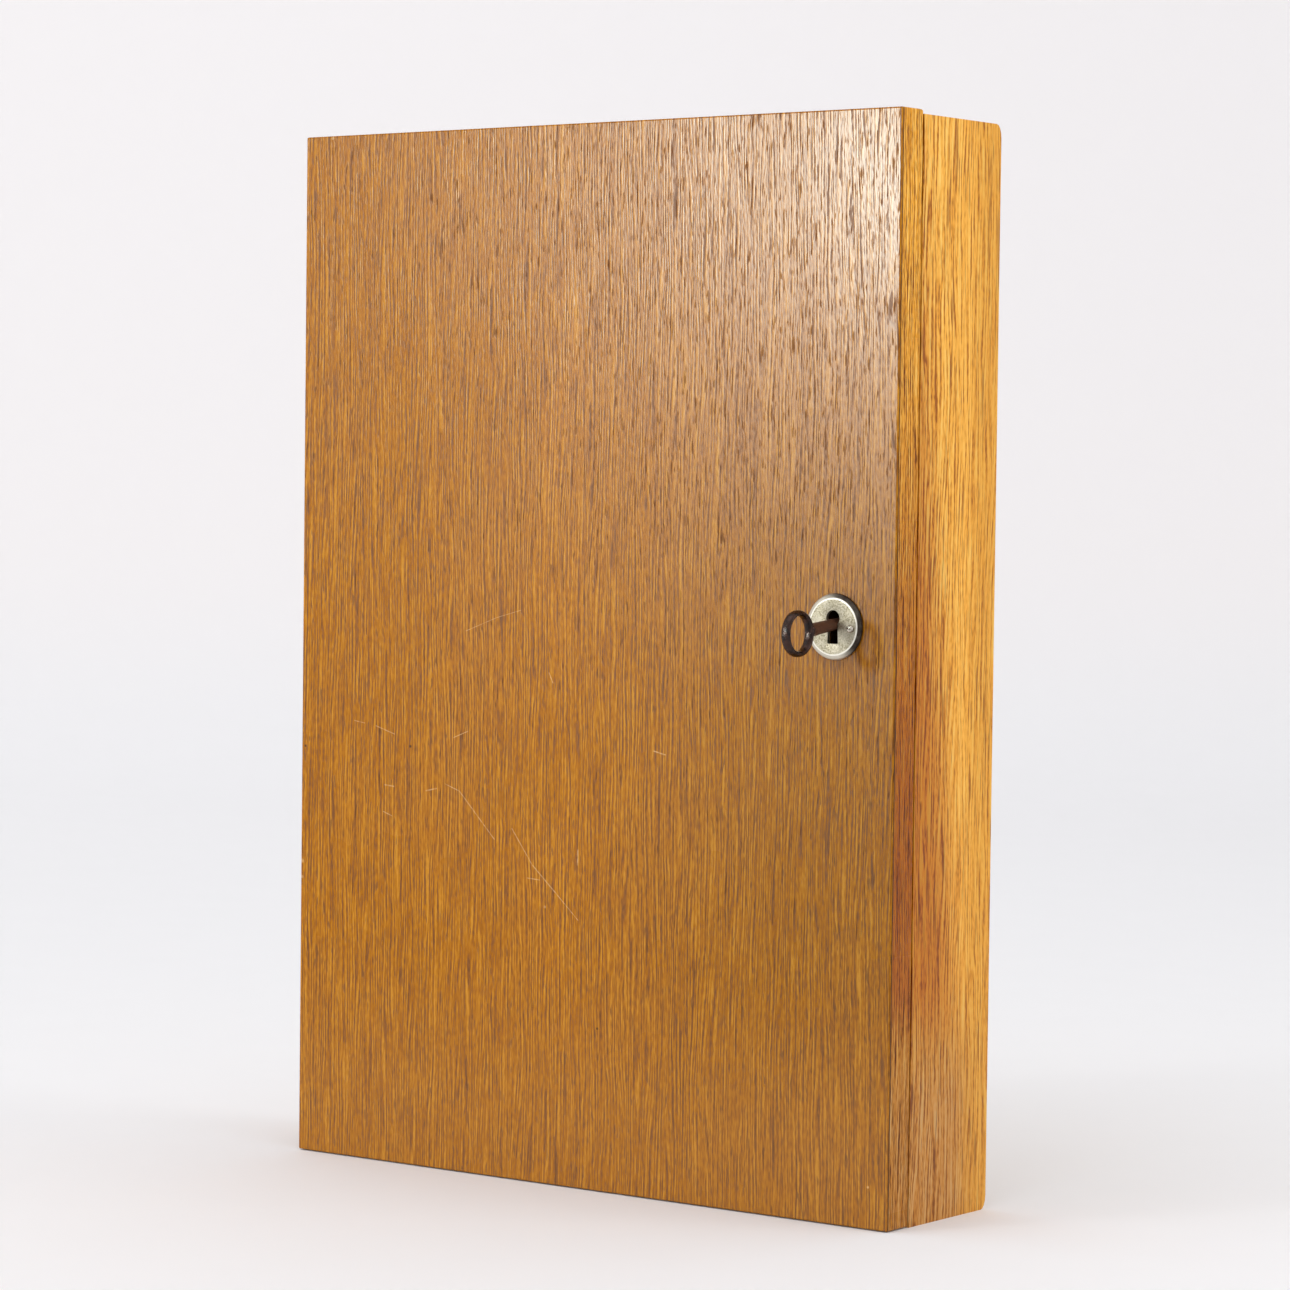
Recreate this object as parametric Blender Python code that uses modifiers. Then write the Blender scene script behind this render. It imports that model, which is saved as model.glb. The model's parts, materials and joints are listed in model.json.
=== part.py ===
"""Wooden key cabinet with a lockable, overlaid door, in metres.

X runs to the right, Y to the rear and Z up. The door faces -Y. The origin is the centre of the
carcass underside. The door turns about a vertical axis at the left, the key turns about its own
drooping axis, and the bolt slides along X.
"""
import math

import bmesh
import bpy
from mathutils import Matrix, Vector

# Cabinet
WIDTH = 0.350
CARCASS_HEIGHT = 0.4985
CARCASS_DEPTH = 0.0645
PANEL = 0.012
BACK_THICKNESS = 0.004
BACK_LAP = 0.0045          # how far the back reaches into its rebates
REAR_EASE_Y = 0.004        # rounded rear corners of the carcass
REAR_EASE_Z = 0.0065
GAP = 0.0003               # clearance between two fitted pieces
OVERRUN = 0.001            # how far a cutter runs past a face

# Door
DOOR_HEIGHT = 0.500
DOOR_THICKNESS = 0.017
DOOR_LIFT = 0.0005         # door bottom above the carcass underside
DOOR_GAP = 0.0006          # between the door's rear face and the carcass
DOOR_REAR_ROUND = 0.0022
DOOR_FRONT_ROUND = 0.0007

# Butt hinges
HINGE_HEIGHTS = {"hinge_lower": 0.080, "hinge_upper": 0.420}
HINGE_LENGTH = 0.045
HINGE_LEAF = 0.0011
LEAF_WIDTH = 0.0105
KNUCKLES = 5
KNUCKLE_RADIUS = 0.0024
KNUCKLE_SIDES = 16
PIN_RADIUS = 0.0010
PIN_BORE = 0.00109
HINGE_SCREW_OFFSET = 0.0125
HINGE_SCREW_PLACE = 0.56   # across the leaf, from the carcass corner, as a share of its width
PIN_HEAD_RADIUS = 0.0017
PIN_HEAD_TOP_RADIUS = 0.0013
PIN_HEAD_HEIGHT = 0.0009

# Screws and pilot holes
SCREW_SIDES = 10
SCREW_SLOT_WIDTH = 0.0007
SCREW_SLOT_DEPTH = 0.00055
SUNK_HEAD_RADIUS = 0.0021
SUNK_SHANK_RADIUS = 0.0010
HINGE_SCREW_LENGTH = 0.0105
STRIKE_SCREW_LENGTH = 0.0090
LOCK_SCREW_HEAD_RADIUS = 0.0026
LOCK_SCREW_DOME = 0.0015
LOCK_SCREW_SHANK_RADIUS = 0.0011
LOCK_SCREW_LENGTH = 0.0120

# Escutcheon and keyhole
PLATE_X = 0.1430
PLATE_Z = 0.2697
PLATE_RADIUS = 0.0150
PLATE_FACE_RADIUS = 0.0131
PLATE_THICKNESS = 0.0020
KEYHOLE_RISE = 0.0039      # round part's centre above the plate's centre
KEYHOLE_RADIUS = 0.0036
KEYHOLE_DROP = 0.0076      # slot's foot below the plate's centre
SLOT_TOP = 0.00515         # slot width at its top and at its foot
SLOT_FOOT = 0.00570
PLATE_RIM_EDGE = 0.0005    # upright part of the rim at the door
DOOR_KEYHOLE_MARGIN = 0.0006
PLATE_PIN_OFFSET = 0.0095
PLATE_PIN_DROP = 0.0006
PLATE_PIN_DOME_RADIUS = 0.00175
PLATE_PIN_DOME_HEIGHT = 0.0011
PLATE_PIN_RADIUS = 0.0007
PLATE_PIN_LENGTH = 0.0092

# Key, measured along its own axis: 0 at the pivot in the lock, positive inwards
KEY_DROOP = math.radians(7.17)
KEY_PIVOT_BEHIND_DOOR = 0.00342
KEY_BOW_CENTRE = -0.0506
KEY_BOW_RADIUS = 0.0091    # to the middle of the ring's section
KEY_BOW_SECTION = 0.00138
KEY_BOW_STRETCH = 1.35     # the section is wider than it is thick
KEY_SHANK_RADIUS = 0.00235
KEY_SHANK_BOW_RADIUS = 0.00265
KEY_SHANK_SWELL = 0.0030   # length of the thicker part at the bow
KEY_TIP = 0.0110
BIT_START = 0.0010
BIT_END = 0.0055
BIT_REACH = 0.0103
BIT_THICKNESS = 0.0023
WARD_CUT = ((0.0027, -0.0078), (0.0037, -0.0052))    # (along, across) corners of the slit in the bit
STEP_CUT = (0.0024, -0.0094)                         # inner corner of the notch at the bit's foot

# Lock, on the door's rear face
LOCK_LEFT = 0.1085
LOCK_RIGHT = 0.1615
LOCK_WALL = 0.0010
LOCK_PLATE_THICKNESS = 0.0012
LOCK_DEPTH = 0.0110
LOCK_CASE_DROP = 0.0135    # case below and above the key's axis
LOCK_CASE_RISE = 0.0220
LOCK_EAR = 0.0078
LOCK_SCREW_INSET = 0.0060
BOLT_THICKNESS = 0.0035
BOLT_HEIGHT = 0.0100
BOLT_RISE = 0.0062         # bolt's lower edge above the key's axis
BOLT_TRAVEL = 0.0080
BOLT_TAIL = 0.1108
TALON_LEFT = 0.0132        # notch that the bit sweeps through
TALON_RIGHT = 0.0054
POST_RADIUS = 0.0015
POST_X = 0.1236
INNER_KEYHOLE = (0.0032, 0.0036, 0.0116)   # radius, slot width and drop in the lock plate
KEY_TIP_HOLE_RADIUS = 0.0032
SPRING_THICKNESS = 0.0004
SPRING_WIDTH = 0.0024
SPRING_LENGTH = 0.0220
SPRING_RISE = 0.0036

# Strike
STRIKE_WIDTH = 0.0084
STRIKE_LENGTH = 0.0440
STRIKE_THICKNESS = 0.0010
STRIKE_SCREW_OFFSET = 0.0165
MORTISE_CLEARANCE = 0.0007
MORTISE_DEPTH = 0.0082

# Hook rails and hooks
RAIL_HEIGHTS = (0.455, 0.345, 0.235, 0.125)
RAIL_HEIGHT = 0.028
RAIL_THICKNESS = 0.010
HOOK_PLACES = (-0.120, -0.060, 0.0, 0.060, 0.120)
HOOK_DROP = 0.003          # hook arm below the rail's centre line
HOOK_WIRE = 0.0013
HOOK_REACH = 0.013
HOOK_RISE = 0.012
HOOK_ELBOW = 0.0035
HOOK_THREAD = 0.0082

# Keyhole-shaped hanging slots through the back, below the top rail
HANG_X = 0.090
HANG_Z = 0.412
HANG_ENTRY_RADIUS = 0.0050
HANG_NECK_RADIUS = 0.0026
HANG_RISE = 0.011

# Faces that follow from the sizes above
SIDE_OUTER = WIDTH / 2
SIDE_INNER = SIDE_OUTER - PANEL
FRONT = -CARCASS_DEPTH / 2
REAR = CARCASS_DEPTH / 2
DOOR_REAR = FRONT - DOOR_GAP
DOOR_FRONT = DOOR_REAR - DOOR_THICKNESS
BACK_FRONT = REAR - BACK_THICKNESS
RAIL_FRONT = BACK_FRONT - GAP - RAIL_THICKNESS
HINGE_X = -SIDE_OUTER - KNUCKLE_RADIUS - GAP
HINGE_Y = (FRONT + DOOR_REAR) / 2
KEY_Z = PLATE_Z + KEYHOLE_RISE
KEY_PIVOT = Vector((PLATE_X, DOOR_REAR + KEY_PIVOT_BEHIND_DOOR, KEY_Z))
LOCK_PLATE_FRONT = DOOR_REAR + GAP
LOCK_PLATE_REAR = LOCK_PLATE_FRONT + LOCK_PLATE_THICKNESS
CASE_FRONT = LOCK_PLATE_REAR + GAP
CASE_REAR = CASE_FRONT + LOCK_DEPTH
BIT_Z = KEY_Z + (BIT_START + BIT_END) / 2 * math.sin(KEY_DROOP)
CASE_LOW = BIT_Z - LOCK_CASE_DROP
CASE_HIGH = BIT_Z + LOCK_CASE_RISE
BOLT_LOW = BIT_Z + BOLT_RISE
BOLT_HIGH = BOLT_LOW + BOLT_HEIGHT
BOLT_MIDDLE = (BOLT_LOW + BOLT_HIGH) / 2
BOLT_Y = (LOCK_PLATE_REAR + CASE_REAR - LOCK_WALL) / 2
BOLT_TIP = LOCK_RIGHT - GAP / 2

FACING_FRONT = (math.pi / 2, 0.0, 0.0)             # local X, Y, Z become X, Z, -Y
FACING_RIGHT = (math.pi / 2, 0.0, math.pi / 2)     # local X, Y, Z become Y, Z, X


# ---------------------------------------------------------------- scene and materials

def clear_scene():
    for obj in list(bpy.data.objects):
        bpy.data.objects.remove(obj, do_unlink=True)


def new_collection(name):
    collection = bpy.data.collections.new(name)
    bpy.context.scene.collection.children.link(collection)
    return collection


def new_material(name, colour, roughness, metallic=0.0):
    material = bpy.data.materials.new(name)
    material.use_nodes = True
    shader = material.node_tree.nodes["Principled BSDF"]
    shader.inputs["Base Color"].default_value = (*colour, 1.0)
    shader.inputs["Roughness"].default_value = roughness
    shader.inputs["Metallic"].default_value = metallic
    material.diffuse_color = (*colour, 1.0)
    return material


clear_scene()
PARTS = new_collection("key_cabinet")
CUTTERS = new_collection("cutters")

FINISHES = {
    "oak_veneer": new_material("oak_veneer", (0.50, 0.27, 0.10), 0.35),
    "oak_solid": new_material("oak_solid", (0.66, 0.36, 0.11), 0.42),
    "plywood": new_material("plywood", (0.62, 0.44, 0.25), 0.60),
    "beech": new_material("beech", (0.64, 0.42, 0.24), 0.50),
    "brass": new_material("brass", (0.72, 0.52, 0.22), 0.30, 1.0),
    "nickel": new_material("nickel", (0.66, 0.63, 0.56), 0.28, 1.0),
    "lock_steel": new_material("lock_steel", (0.36, 0.35, 0.33), 0.42, 1.0),
    "browned_steel": new_material("browned_steel", (0.16, 0.09, 0.06), 0.38, 1.0),
}


# ---------------------------------------------------------------- shape helpers

def link(obj, finish):
    """Put a finished piece, or a cutter when finish is None, in its collection."""
    if finish is None:
        CUTTERS.objects.link(obj)
        obj.hide_render = True
        obj.display_type = 'WIRE'
    else:
        PARTS.objects.link(obj)
        material = FINISHES[finish].copy()
        material.name = obj.name
        obj.data.materials.append(material)
    return obj


def smooth(obj, degrees=40):
    obj.data.shade_smooth()
    obj.data.set_sharp_from_angle(angle=math.radians(degrees))


def box(name, low, high, finish=None, rounding=0.0, edge_weight=None):
    """A closed box between two corners; edge_weight(middle) scales the rounding of each edge."""
    low, high = Vector(low), Vector(high)
    bm = bmesh.new()
    bmesh.ops.create_cube(bm, size=1.0)
    bmesh.ops.scale(bm, vec=high - low, verts=bm.verts)
    if edge_weight:
        layer = bm.edges.layers.float.new("bevel_weight_edge")
        for edge in bm.edges:
            middle = (edge.verts[0].co + edge.verts[1].co) / 2
            edge[layer] = edge_weight(middle)
    mesh = bpy.data.meshes.new(name)
    bm.to_mesh(mesh)
    bm.free()
    obj = link(bpy.data.objects.new(name, mesh), finish)
    obj.location = (low + high) / 2
    if rounding:
        bevel = obj.modifiers.new("rounding", 'BEVEL')
        bevel.width = rounding
        bevel.segments = 2
        if edge_weight:
            bevel.limit_method = 'WEIGHT'
    return obj


def cone(name, start, end, radius_start, radius_end, segments, finish=None):
    """A closed cylinder or cone from start to end."""
    start, end = Vector(start), Vector(end)
    bm = bmesh.new()
    bmesh.ops.create_cone(bm, cap_ends=True, segments=segments, radius1=radius_start,
                          radius2=radius_end, depth=(end - start).length)
    mesh = bpy.data.meshes.new(name)
    bm.to_mesh(mesh)
    bm.free()
    obj = link(bpy.data.objects.new(name, mesh), finish)
    smooth(obj)
    obj.location = (start + end) / 2
    turn = Vector((0, 0, 1)).rotation_difference((end - start).normalized())
    obj.rotation_euler = turn.to_euler()
    return obj


def turned(name, profile, steps, finish=None):
    """A solid of revolution about Z from (radius, height) points listed top to bottom."""
    mesh = bpy.data.meshes.new(name)
    points = [(radius, 0.0, height) for radius, height in profile]
    mesh.from_pydata(points, [(i, i + 1) for i in range(len(points) - 1)], [])
    obj = link(bpy.data.objects.new(name, mesh), finish)
    screw = obj.modifiers.new("turn", 'SCREW')
    screw.steps = steps
    screw.render_steps = steps
    screw.use_merge_vertices = True
    screw.merge_threshold = 0.00002
    return obj


def arc(centre, radius_x, radius_y, start, end, steps):
    """Points on an elliptical arc, angles in degrees."""
    angles = [math.radians(start + (end - start) * i / steps) for i in range(steps + 1)]
    return [(centre[0] + radius_x * math.cos(a), centre[1] + radius_y * math.sin(a)) for a in angles]


def mesh_from_curve(curve_object, finish):
    """Replace a filled curve with a mesh whose caps are welded."""
    bpy.context.view_layer.update()
    evaluated = curve_object.evaluated_get(bpy.context.evaluated_depsgraph_get())
    mesh = bpy.data.meshes.new_from_object(evaluated)
    bm = bmesh.new()
    bm.from_mesh(mesh)
    bmesh.ops.remove_doubles(bm, verts=bm.verts, dist=0.000001)
    bm.to_mesh(mesh)
    bm.free()
    mesh.materials.clear()
    name = curve_object.name
    matrix = curve_object.matrix_world.copy()
    bpy.data.objects.remove(curve_object, do_unlink=True)
    mesh.name = name
    obj = link(bpy.data.objects.new(name, mesh), finish)
    obj.matrix_world = matrix
    return obj


def slab(name, points, thickness, location, rotation, finish=None):
    """A flat outline, thickened both ways about its own plane."""
    curve = bpy.data.curves.new(name, 'CURVE')
    curve.dimensions = '2D'
    curve.fill_mode = 'BOTH'
    curve.extrude = thickness / 2
    spline = curve.splines.new('POLY')
    spline.points.add(len(points) - 1)
    for point, (x, y) in zip(spline.points, points):
        point.co = (x, y, 0.0, 1.0)
    spline.use_cyclic_u = True
    obj = bpy.data.objects.new(name, curve)
    CUTTERS.objects.link(obj)
    obj.location = location
    obj.rotation_euler = rotation
    return mesh_from_curve(obj, finish)


def combine(target, tool, operation):
    modifier = target.modifiers.new(operation.lower(), 'BOOLEAN')
    modifier.operation = operation
    modifier.object = tool


def cut(target, *tools):
    for tool in tools:
        combine(target, tool, 'DIFFERENCE')


def unite(target, *tools):
    for tool in tools:
        combine(target, tool, 'UNION')


def axis_empty(name, location):
    empty = bpy.data.objects.new(name, None)
    PARTS.objects.link(empty)
    empty.location = location
    empty.empty_display_size = 0.02
    return empty


def hang_on(parent, *objects):
    """Parent pieces without moving them; the parent is an unrotated empty."""
    for obj in objects:
        obj.parent = parent
        obj.matrix_parent_inverse.identity()
        obj.matrix_parent_inverse.translation = -parent.location


# ---------------------------------------------------------------- screws and pins

def screw(name, head, into, finish, head_radius, head_depth, shank_radius, length, dome=0.0):
    """A slotted wood screw; head is the middle of its face plane and into points along its shank.

    A countersunk head narrows over head_depth. A domed head rises by dome above the plane.
    """
    if dome:
        cap = [(radius, height) for height, radius in arc((0.0, 0.0), dome, head_radius, 0, 90, 3)]
        profile = [(0.0, dome)] + cap[1:] + [(shank_radius, 0.0)]
    else:
        profile = [(0.0, 0.0), (head_radius, 0.0), (head_radius, -0.00015), (shank_radius, -head_depth)]
    profile += [(shank_radius, -length * 0.8), (0.0, -length)]
    obj = turned(name, profile, SCREW_SIDES, finish)
    turn = Vector((0, 0, -1)).rotation_difference(Vector(into))
    obj.location = head
    obj.rotation_euler = turn.to_euler()
    slot = box(name + "_slot", (-SCREW_SLOT_WIDTH / 2, -head_radius - OVERRUN, dome - SCREW_SLOT_DEPTH),
               (SCREW_SLOT_WIDTH / 2, head_radius + OVERRUN, dome + OVERRUN))
    slot.location = Vector(head) - Vector(into) * (dome - SCREW_SLOT_DEPTH / 2 + OVERRUN / 2)
    slot.rotation_euler = turn.to_euler()
    cut(obj, slot)
    return obj


def screw_hole(name, head, into, radius, length):
    """Cutter for a screw's shank, from just outside its face plane to past its point."""
    head, into = Vector(head), Vector(into)
    return cone(name, head - into * OVERRUN, head + into * (length + GAP), radius, radius, SCREW_SIDES)


def countersink(name, face, into, head_radius, shank_radius, head_depth):
    """Cutter for a countersunk head, extended along its own slope past the face."""
    face, into = Vector(face), Vector(into)
    slope = (head_radius - shank_radius) / head_depth
    wide = head_radius + GAP + slope * OVERRUN
    narrow = shank_radius + GAP
    return cone(name, face - into * OVERRUN, face + into * head_depth, wide, narrow, SCREW_SIDES)


# ---------------------------------------------------------------- carcass

def eased_profile(low, high, ease_low, ease_high):
    """Outline in (y, z) with the rear lower and rear upper corners rounded where asked."""
    points = [(FRONT, high), (FRONT, low)]
    if ease_low:
        centre = (REAR - REAR_EASE_Y, low + REAR_EASE_Z)
        points += arc(centre, REAR_EASE_Y, REAR_EASE_Z, -90, 0, 4)
    else:
        points.append((REAR, low))
    if ease_high:
        centre = (REAR - REAR_EASE_Y, high - REAR_EASE_Z)
        points += arc(centre, REAR_EASE_Y, REAR_EASE_Z, 0, 90, 4)
    else:
        points.append((REAR, high))
    return points


def make_side(name, sign):
    profile = eased_profile(0.0, CARCASS_HEIGHT, True, True)
    middle = sign * (SIDE_OUTER - PANEL / 2)
    return slab(name, profile, PANEL, (middle, 0, 0), FACING_RIGHT, "oak_solid")


def make_carcass():
    """Two sides, top and bottom between them, and a back let into rebates all round."""
    sides = {"side_left": make_side("side_left", -1), "side_right": make_side("side_right", 1)}
    inner_length = 2 * (SIDE_INNER - GAP)
    top_low = CARCASS_HEIGHT - PANEL
    top = slab("top_panel", eased_profile(top_low, CARCASS_HEIGHT, False, True), inner_length,
               (0, 0, 0), FACING_RIGHT, "oak_solid")
    bottom = slab("bottom_panel", eased_profile(0.0, PANEL, True, False), inner_length,
                  (0, 0, 0), FACING_RIGHT, "oak_solid")
    half_back = SIDE_INNER + BACK_LAP
    back_low = PANEL - BACK_LAP
    back_high = top_low + BACK_LAP
    back = box("back_panel", (-half_back, BACK_FRONT, back_low), (half_back, REAR, back_high), "plywood")
    rebate = box("back_rebate", (-half_back - GAP, BACK_FRONT - GAP, back_low - GAP),
                 (half_back + GAP, REAR + OVERRUN, back_high + GAP))
    for piece in (*sides.values(), top, bottom):
        cut(piece, rebate)
    for side, x in (("left", -HANG_X), ("right", HANG_X)):
        cut(back, hanging_slot(side, x))
    return sides


def make_rails():
    """Four hook rails glued to the back."""
    half_length = SIDE_INNER - GAP
    rails = []
    for row, height in enumerate(RAIL_HEIGHTS, start=1):
        rail = box(f"hook_rail_{row}", (-half_length, RAIL_FRONT, height - RAIL_HEIGHT / 2),
                   (half_length, RAIL_FRONT + RAIL_THICKNESS, height + RAIL_HEIGHT / 2),
                   "beech", rounding=0.0010, edge_weight=front_edges_only)
        rails.append(rail)
    return rails


def front_edges_only(middle):
    return 1.0 if middle.y < 0 and middle.x == 0 else 0.0


def hanging_slot(side, x):
    """Keyhole-shaped cutter: a round entry with a narrower neck rising from it."""
    rise = math.sqrt(HANG_ENTRY_RADIUS ** 2 - HANG_NECK_RADIUS ** 2)
    neck_angle = math.degrees(math.atan2(rise, HANG_NECK_RADIUS))
    points = arc((0, 0), HANG_ENTRY_RADIUS, HANG_ENTRY_RADIUS, 180 - neck_angle, 360 + neck_angle, 14)
    points += arc((0, HANG_RISE), HANG_NECK_RADIUS, HANG_NECK_RADIUS, 0, 180, 6)
    return slab(f"hanging_slot_{side}", points, BACK_THICKNESS + 2 * OVERRUN,
                (x, REAR - BACK_THICKNESS / 2, HANG_Z), FACING_FRONT)


def make_hook(name, x, z):
    """An L-shaped screw hook: thread in the rail, a collar on its face, an arm and an upstand."""
    arm_front = RAIL_FRONT - HOOK_REACH
    face = RAIL_FRONT - GAP
    path = [
        (RAIL_FRONT + HOOK_THREAD, 0.0, 0.5),
        (RAIL_FRONT + HOOK_THREAD - 0.0015, 0.0, 0.85),
        (face, 0.0, 0.85),
        (face - 0.0001, 0.0, 2.4),
        (face - 0.0009, 0.0, 1.1),
    ]
    elbow = arc((arm_front + HOOK_ELBOW, HOOK_ELBOW), HOOK_ELBOW, HOOK_ELBOW, 270, 180, 3)
    path += [(y, rise, 1.0) for y, rise in elbow]
    path += [(arm_front, HOOK_RISE - 0.0005, 1.0), (arm_front, HOOK_RISE, 0.6)]
    curve = bpy.data.curves.new(name, 'CURVE')
    curve.dimensions = '3D'
    curve.bevel_depth = HOOK_WIRE
    curve.bevel_resolution = 2
    curve.use_fill_caps = True
    spline = curve.splines.new('POLY')
    spline.points.add(len(path) - 1)
    for point, (y, rise, radius) in zip(spline.points, path):
        point.co = (0.0, y, rise, 1.0)
        point.radius = radius
    obj = link(bpy.data.objects.new(name, curve), "brass")
    obj.location = (x, 0, z)
    return obj


def make_hooks(rails):
    for row, (rail, height) in enumerate(zip(rails, RAIL_HEIGHTS), start=1):
        z = height - HOOK_DROP
        for place, x in enumerate(HOOK_PLACES, start=1):
            make_hook(f"hook_{row}_{place}", x, z)
            cut(rail, screw_hole(f"hook_hole_{row}_{place}", (x, RAIL_FRONT, z), (0, 1, 0),
                                 HOOK_WIRE + 0.0002, HOOK_THREAD))


# ---------------------------------------------------------------- door and hinges

def door_edge_weight(middle):
    """Rear top and bottom edges are rounder than the rest."""
    if middle.x == 0 and middle.y > 0:
        return 1.0
    return DOOR_FRONT_ROUND / DOOR_REAR_ROUND


def make_door():
    return box("door", (-SIDE_OUTER, DOOR_FRONT, DOOR_LIFT),
               (SIDE_OUTER, DOOR_REAR, DOOR_LIFT + DOOR_HEIGHT),
               "oak_veneer", rounding=DOOR_REAR_ROUND, edge_weight=door_edge_weight)


def make_leaf(name, middle_z, toward, own, hinge_side):
    """One hinge leaf with its knuckles; toward is +1 for the frame leaf and -1 for the door leaf."""
    near = HINGE_Y + toward * GAP / 2
    far = near + toward * HINGE_LEAF
    leaf_end = -SIDE_OUTER + LEAF_WIDTH
    leaf = box(name, (HINGE_X, min(near, far), middle_z - HINGE_LENGTH / 2),
               (leaf_end, max(near, far), middle_z + HINGE_LENGTH / 2), "brass")
    pitch = HINGE_LENGTH / KNUCKLES
    for index in range(KNUCKLES):
        low = middle_z - HINGE_LENGTH / 2 + index * pitch
        high = low + pitch
        if index % 2 == own:
            low += GAP / 2 if index > 0 else 0.0
            high -= GAP / 2 if index < KNUCKLES - 1 else 0.0
            unite(leaf, cone(f"{name}_knuckle_{index}", (HINGE_X, HINGE_Y, low),
                             (HINGE_X, HINGE_Y, high), KNUCKLE_RADIUS, KNUCKLE_RADIUS, KNUCKLE_SIDES))
        else:
            reach = KNUCKLE_RADIUS + GAP
            low -= GAP / 2 if index > 0 else OVERRUN
            high += GAP / 2 if index < KNUCKLES - 1 else OVERRUN
            cut(leaf, box(f"{name}_notch_{index}", (HINGE_X - reach, HINGE_Y - reach, low),
                          (HINGE_X + reach, HINGE_Y + reach, high)))
    bore_end = HINGE_LENGTH / 2 + OVERRUN
    cut(leaf, cone(f"{name}_bore", (HINGE_X, HINGE_Y, middle_z - bore_end),
                   (HINGE_X, HINGE_Y, middle_z + bore_end), PIN_BORE, PIN_BORE,
                   KNUCKLE_SIDES))
    recess = box(f"{name}_recess",
                 (-SIDE_OUTER - OVERRUN, min(HINGE_Y, far + toward * GAP), middle_z - HINGE_LENGTH / 2 - GAP),
                 (leaf_end + GAP, max(HINGE_Y, far + toward * GAP), middle_z + HINGE_LENGTH / 2 + GAP))
    cut(hinge_side, recess)
    into = (0, toward, 0)
    screw_x = -SIDE_OUTER + LEAF_WIDTH * HINGE_SCREW_PLACE
    screws = []
    for place, offset in (("low", -HINGE_SCREW_OFFSET), ("high", HINGE_SCREW_OFFSET)):
        face = (screw_x, near, middle_z + offset)
        cut(leaf, countersink(f"{name}_sink_{place}", face, into, SUNK_HEAD_RADIUS, SUNK_SHANK_RADIUS,
                              HINGE_LEAF + GAP))
        cut(hinge_side, screw_hole(f"{name}_pilot_{place}", face, into, SUNK_SHANK_RADIUS + GAP,
                                   HINGE_SCREW_LENGTH))
        screws.append(screw(f"{name}_screw_{place}", face, into, "brass", SUNK_HEAD_RADIUS,
                            HINGE_LEAF + GAP, SUNK_SHANK_RADIUS, HINGE_SCREW_LENGTH))
    return leaf, screws


def make_hinge_pin(name, middle_z):
    """A pin with a small button head at each end, carried by the frame leaf."""
    end = HINGE_LENGTH / 2 + GAP
    top = end + PIN_HEAD_HEIGHT
    shoulder = end + PIN_HEAD_HEIGHT / 2
    upper = [(0.0, top), (PIN_HEAD_TOP_RADIUS, top), (PIN_HEAD_RADIUS, shoulder), (PIN_HEAD_RADIUS, end),
             (PIN_RADIUS, end)]
    lower = [(radius, -height) for radius, height in reversed(upper)]
    pin = turned(name, upper + lower, KNUCKLE_SIDES, "brass")
    pin.location = (HINGE_X, HINGE_Y, middle_z)


def make_hinges(side_left, door):
    on_door = []
    for name, z in HINGE_HEIGHTS.items():
        make_leaf(f"{name}_frame_leaf", z, 1, 0, side_left)
        leaf, screws = make_leaf(f"{name}_door_leaf", z, -1, 1, door)
        make_hinge_pin(f"{name}_pin", z)
        on_door += [leaf, *screws]
    return on_door


# ---------------------------------------------------------------- escutcheon

def keyhole_outline(radius, top_width, foot_width, drop):
    """Round hole about (0, 0) with a slot below it that widens to its foot."""
    half = top_width / 2
    junction = math.degrees(math.acos(half / radius))
    points = arc((0, 0), radius, radius, -junction, 180 + junction, 16)
    foot = foot_width / 2
    corner = 0.0005
    points += arc((-foot + corner, -drop + corner), corner, corner, 180, 270, 2)
    points += arc((foot - corner, -drop + corner), corner, corner, 270, 360, 2)
    return points


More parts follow.
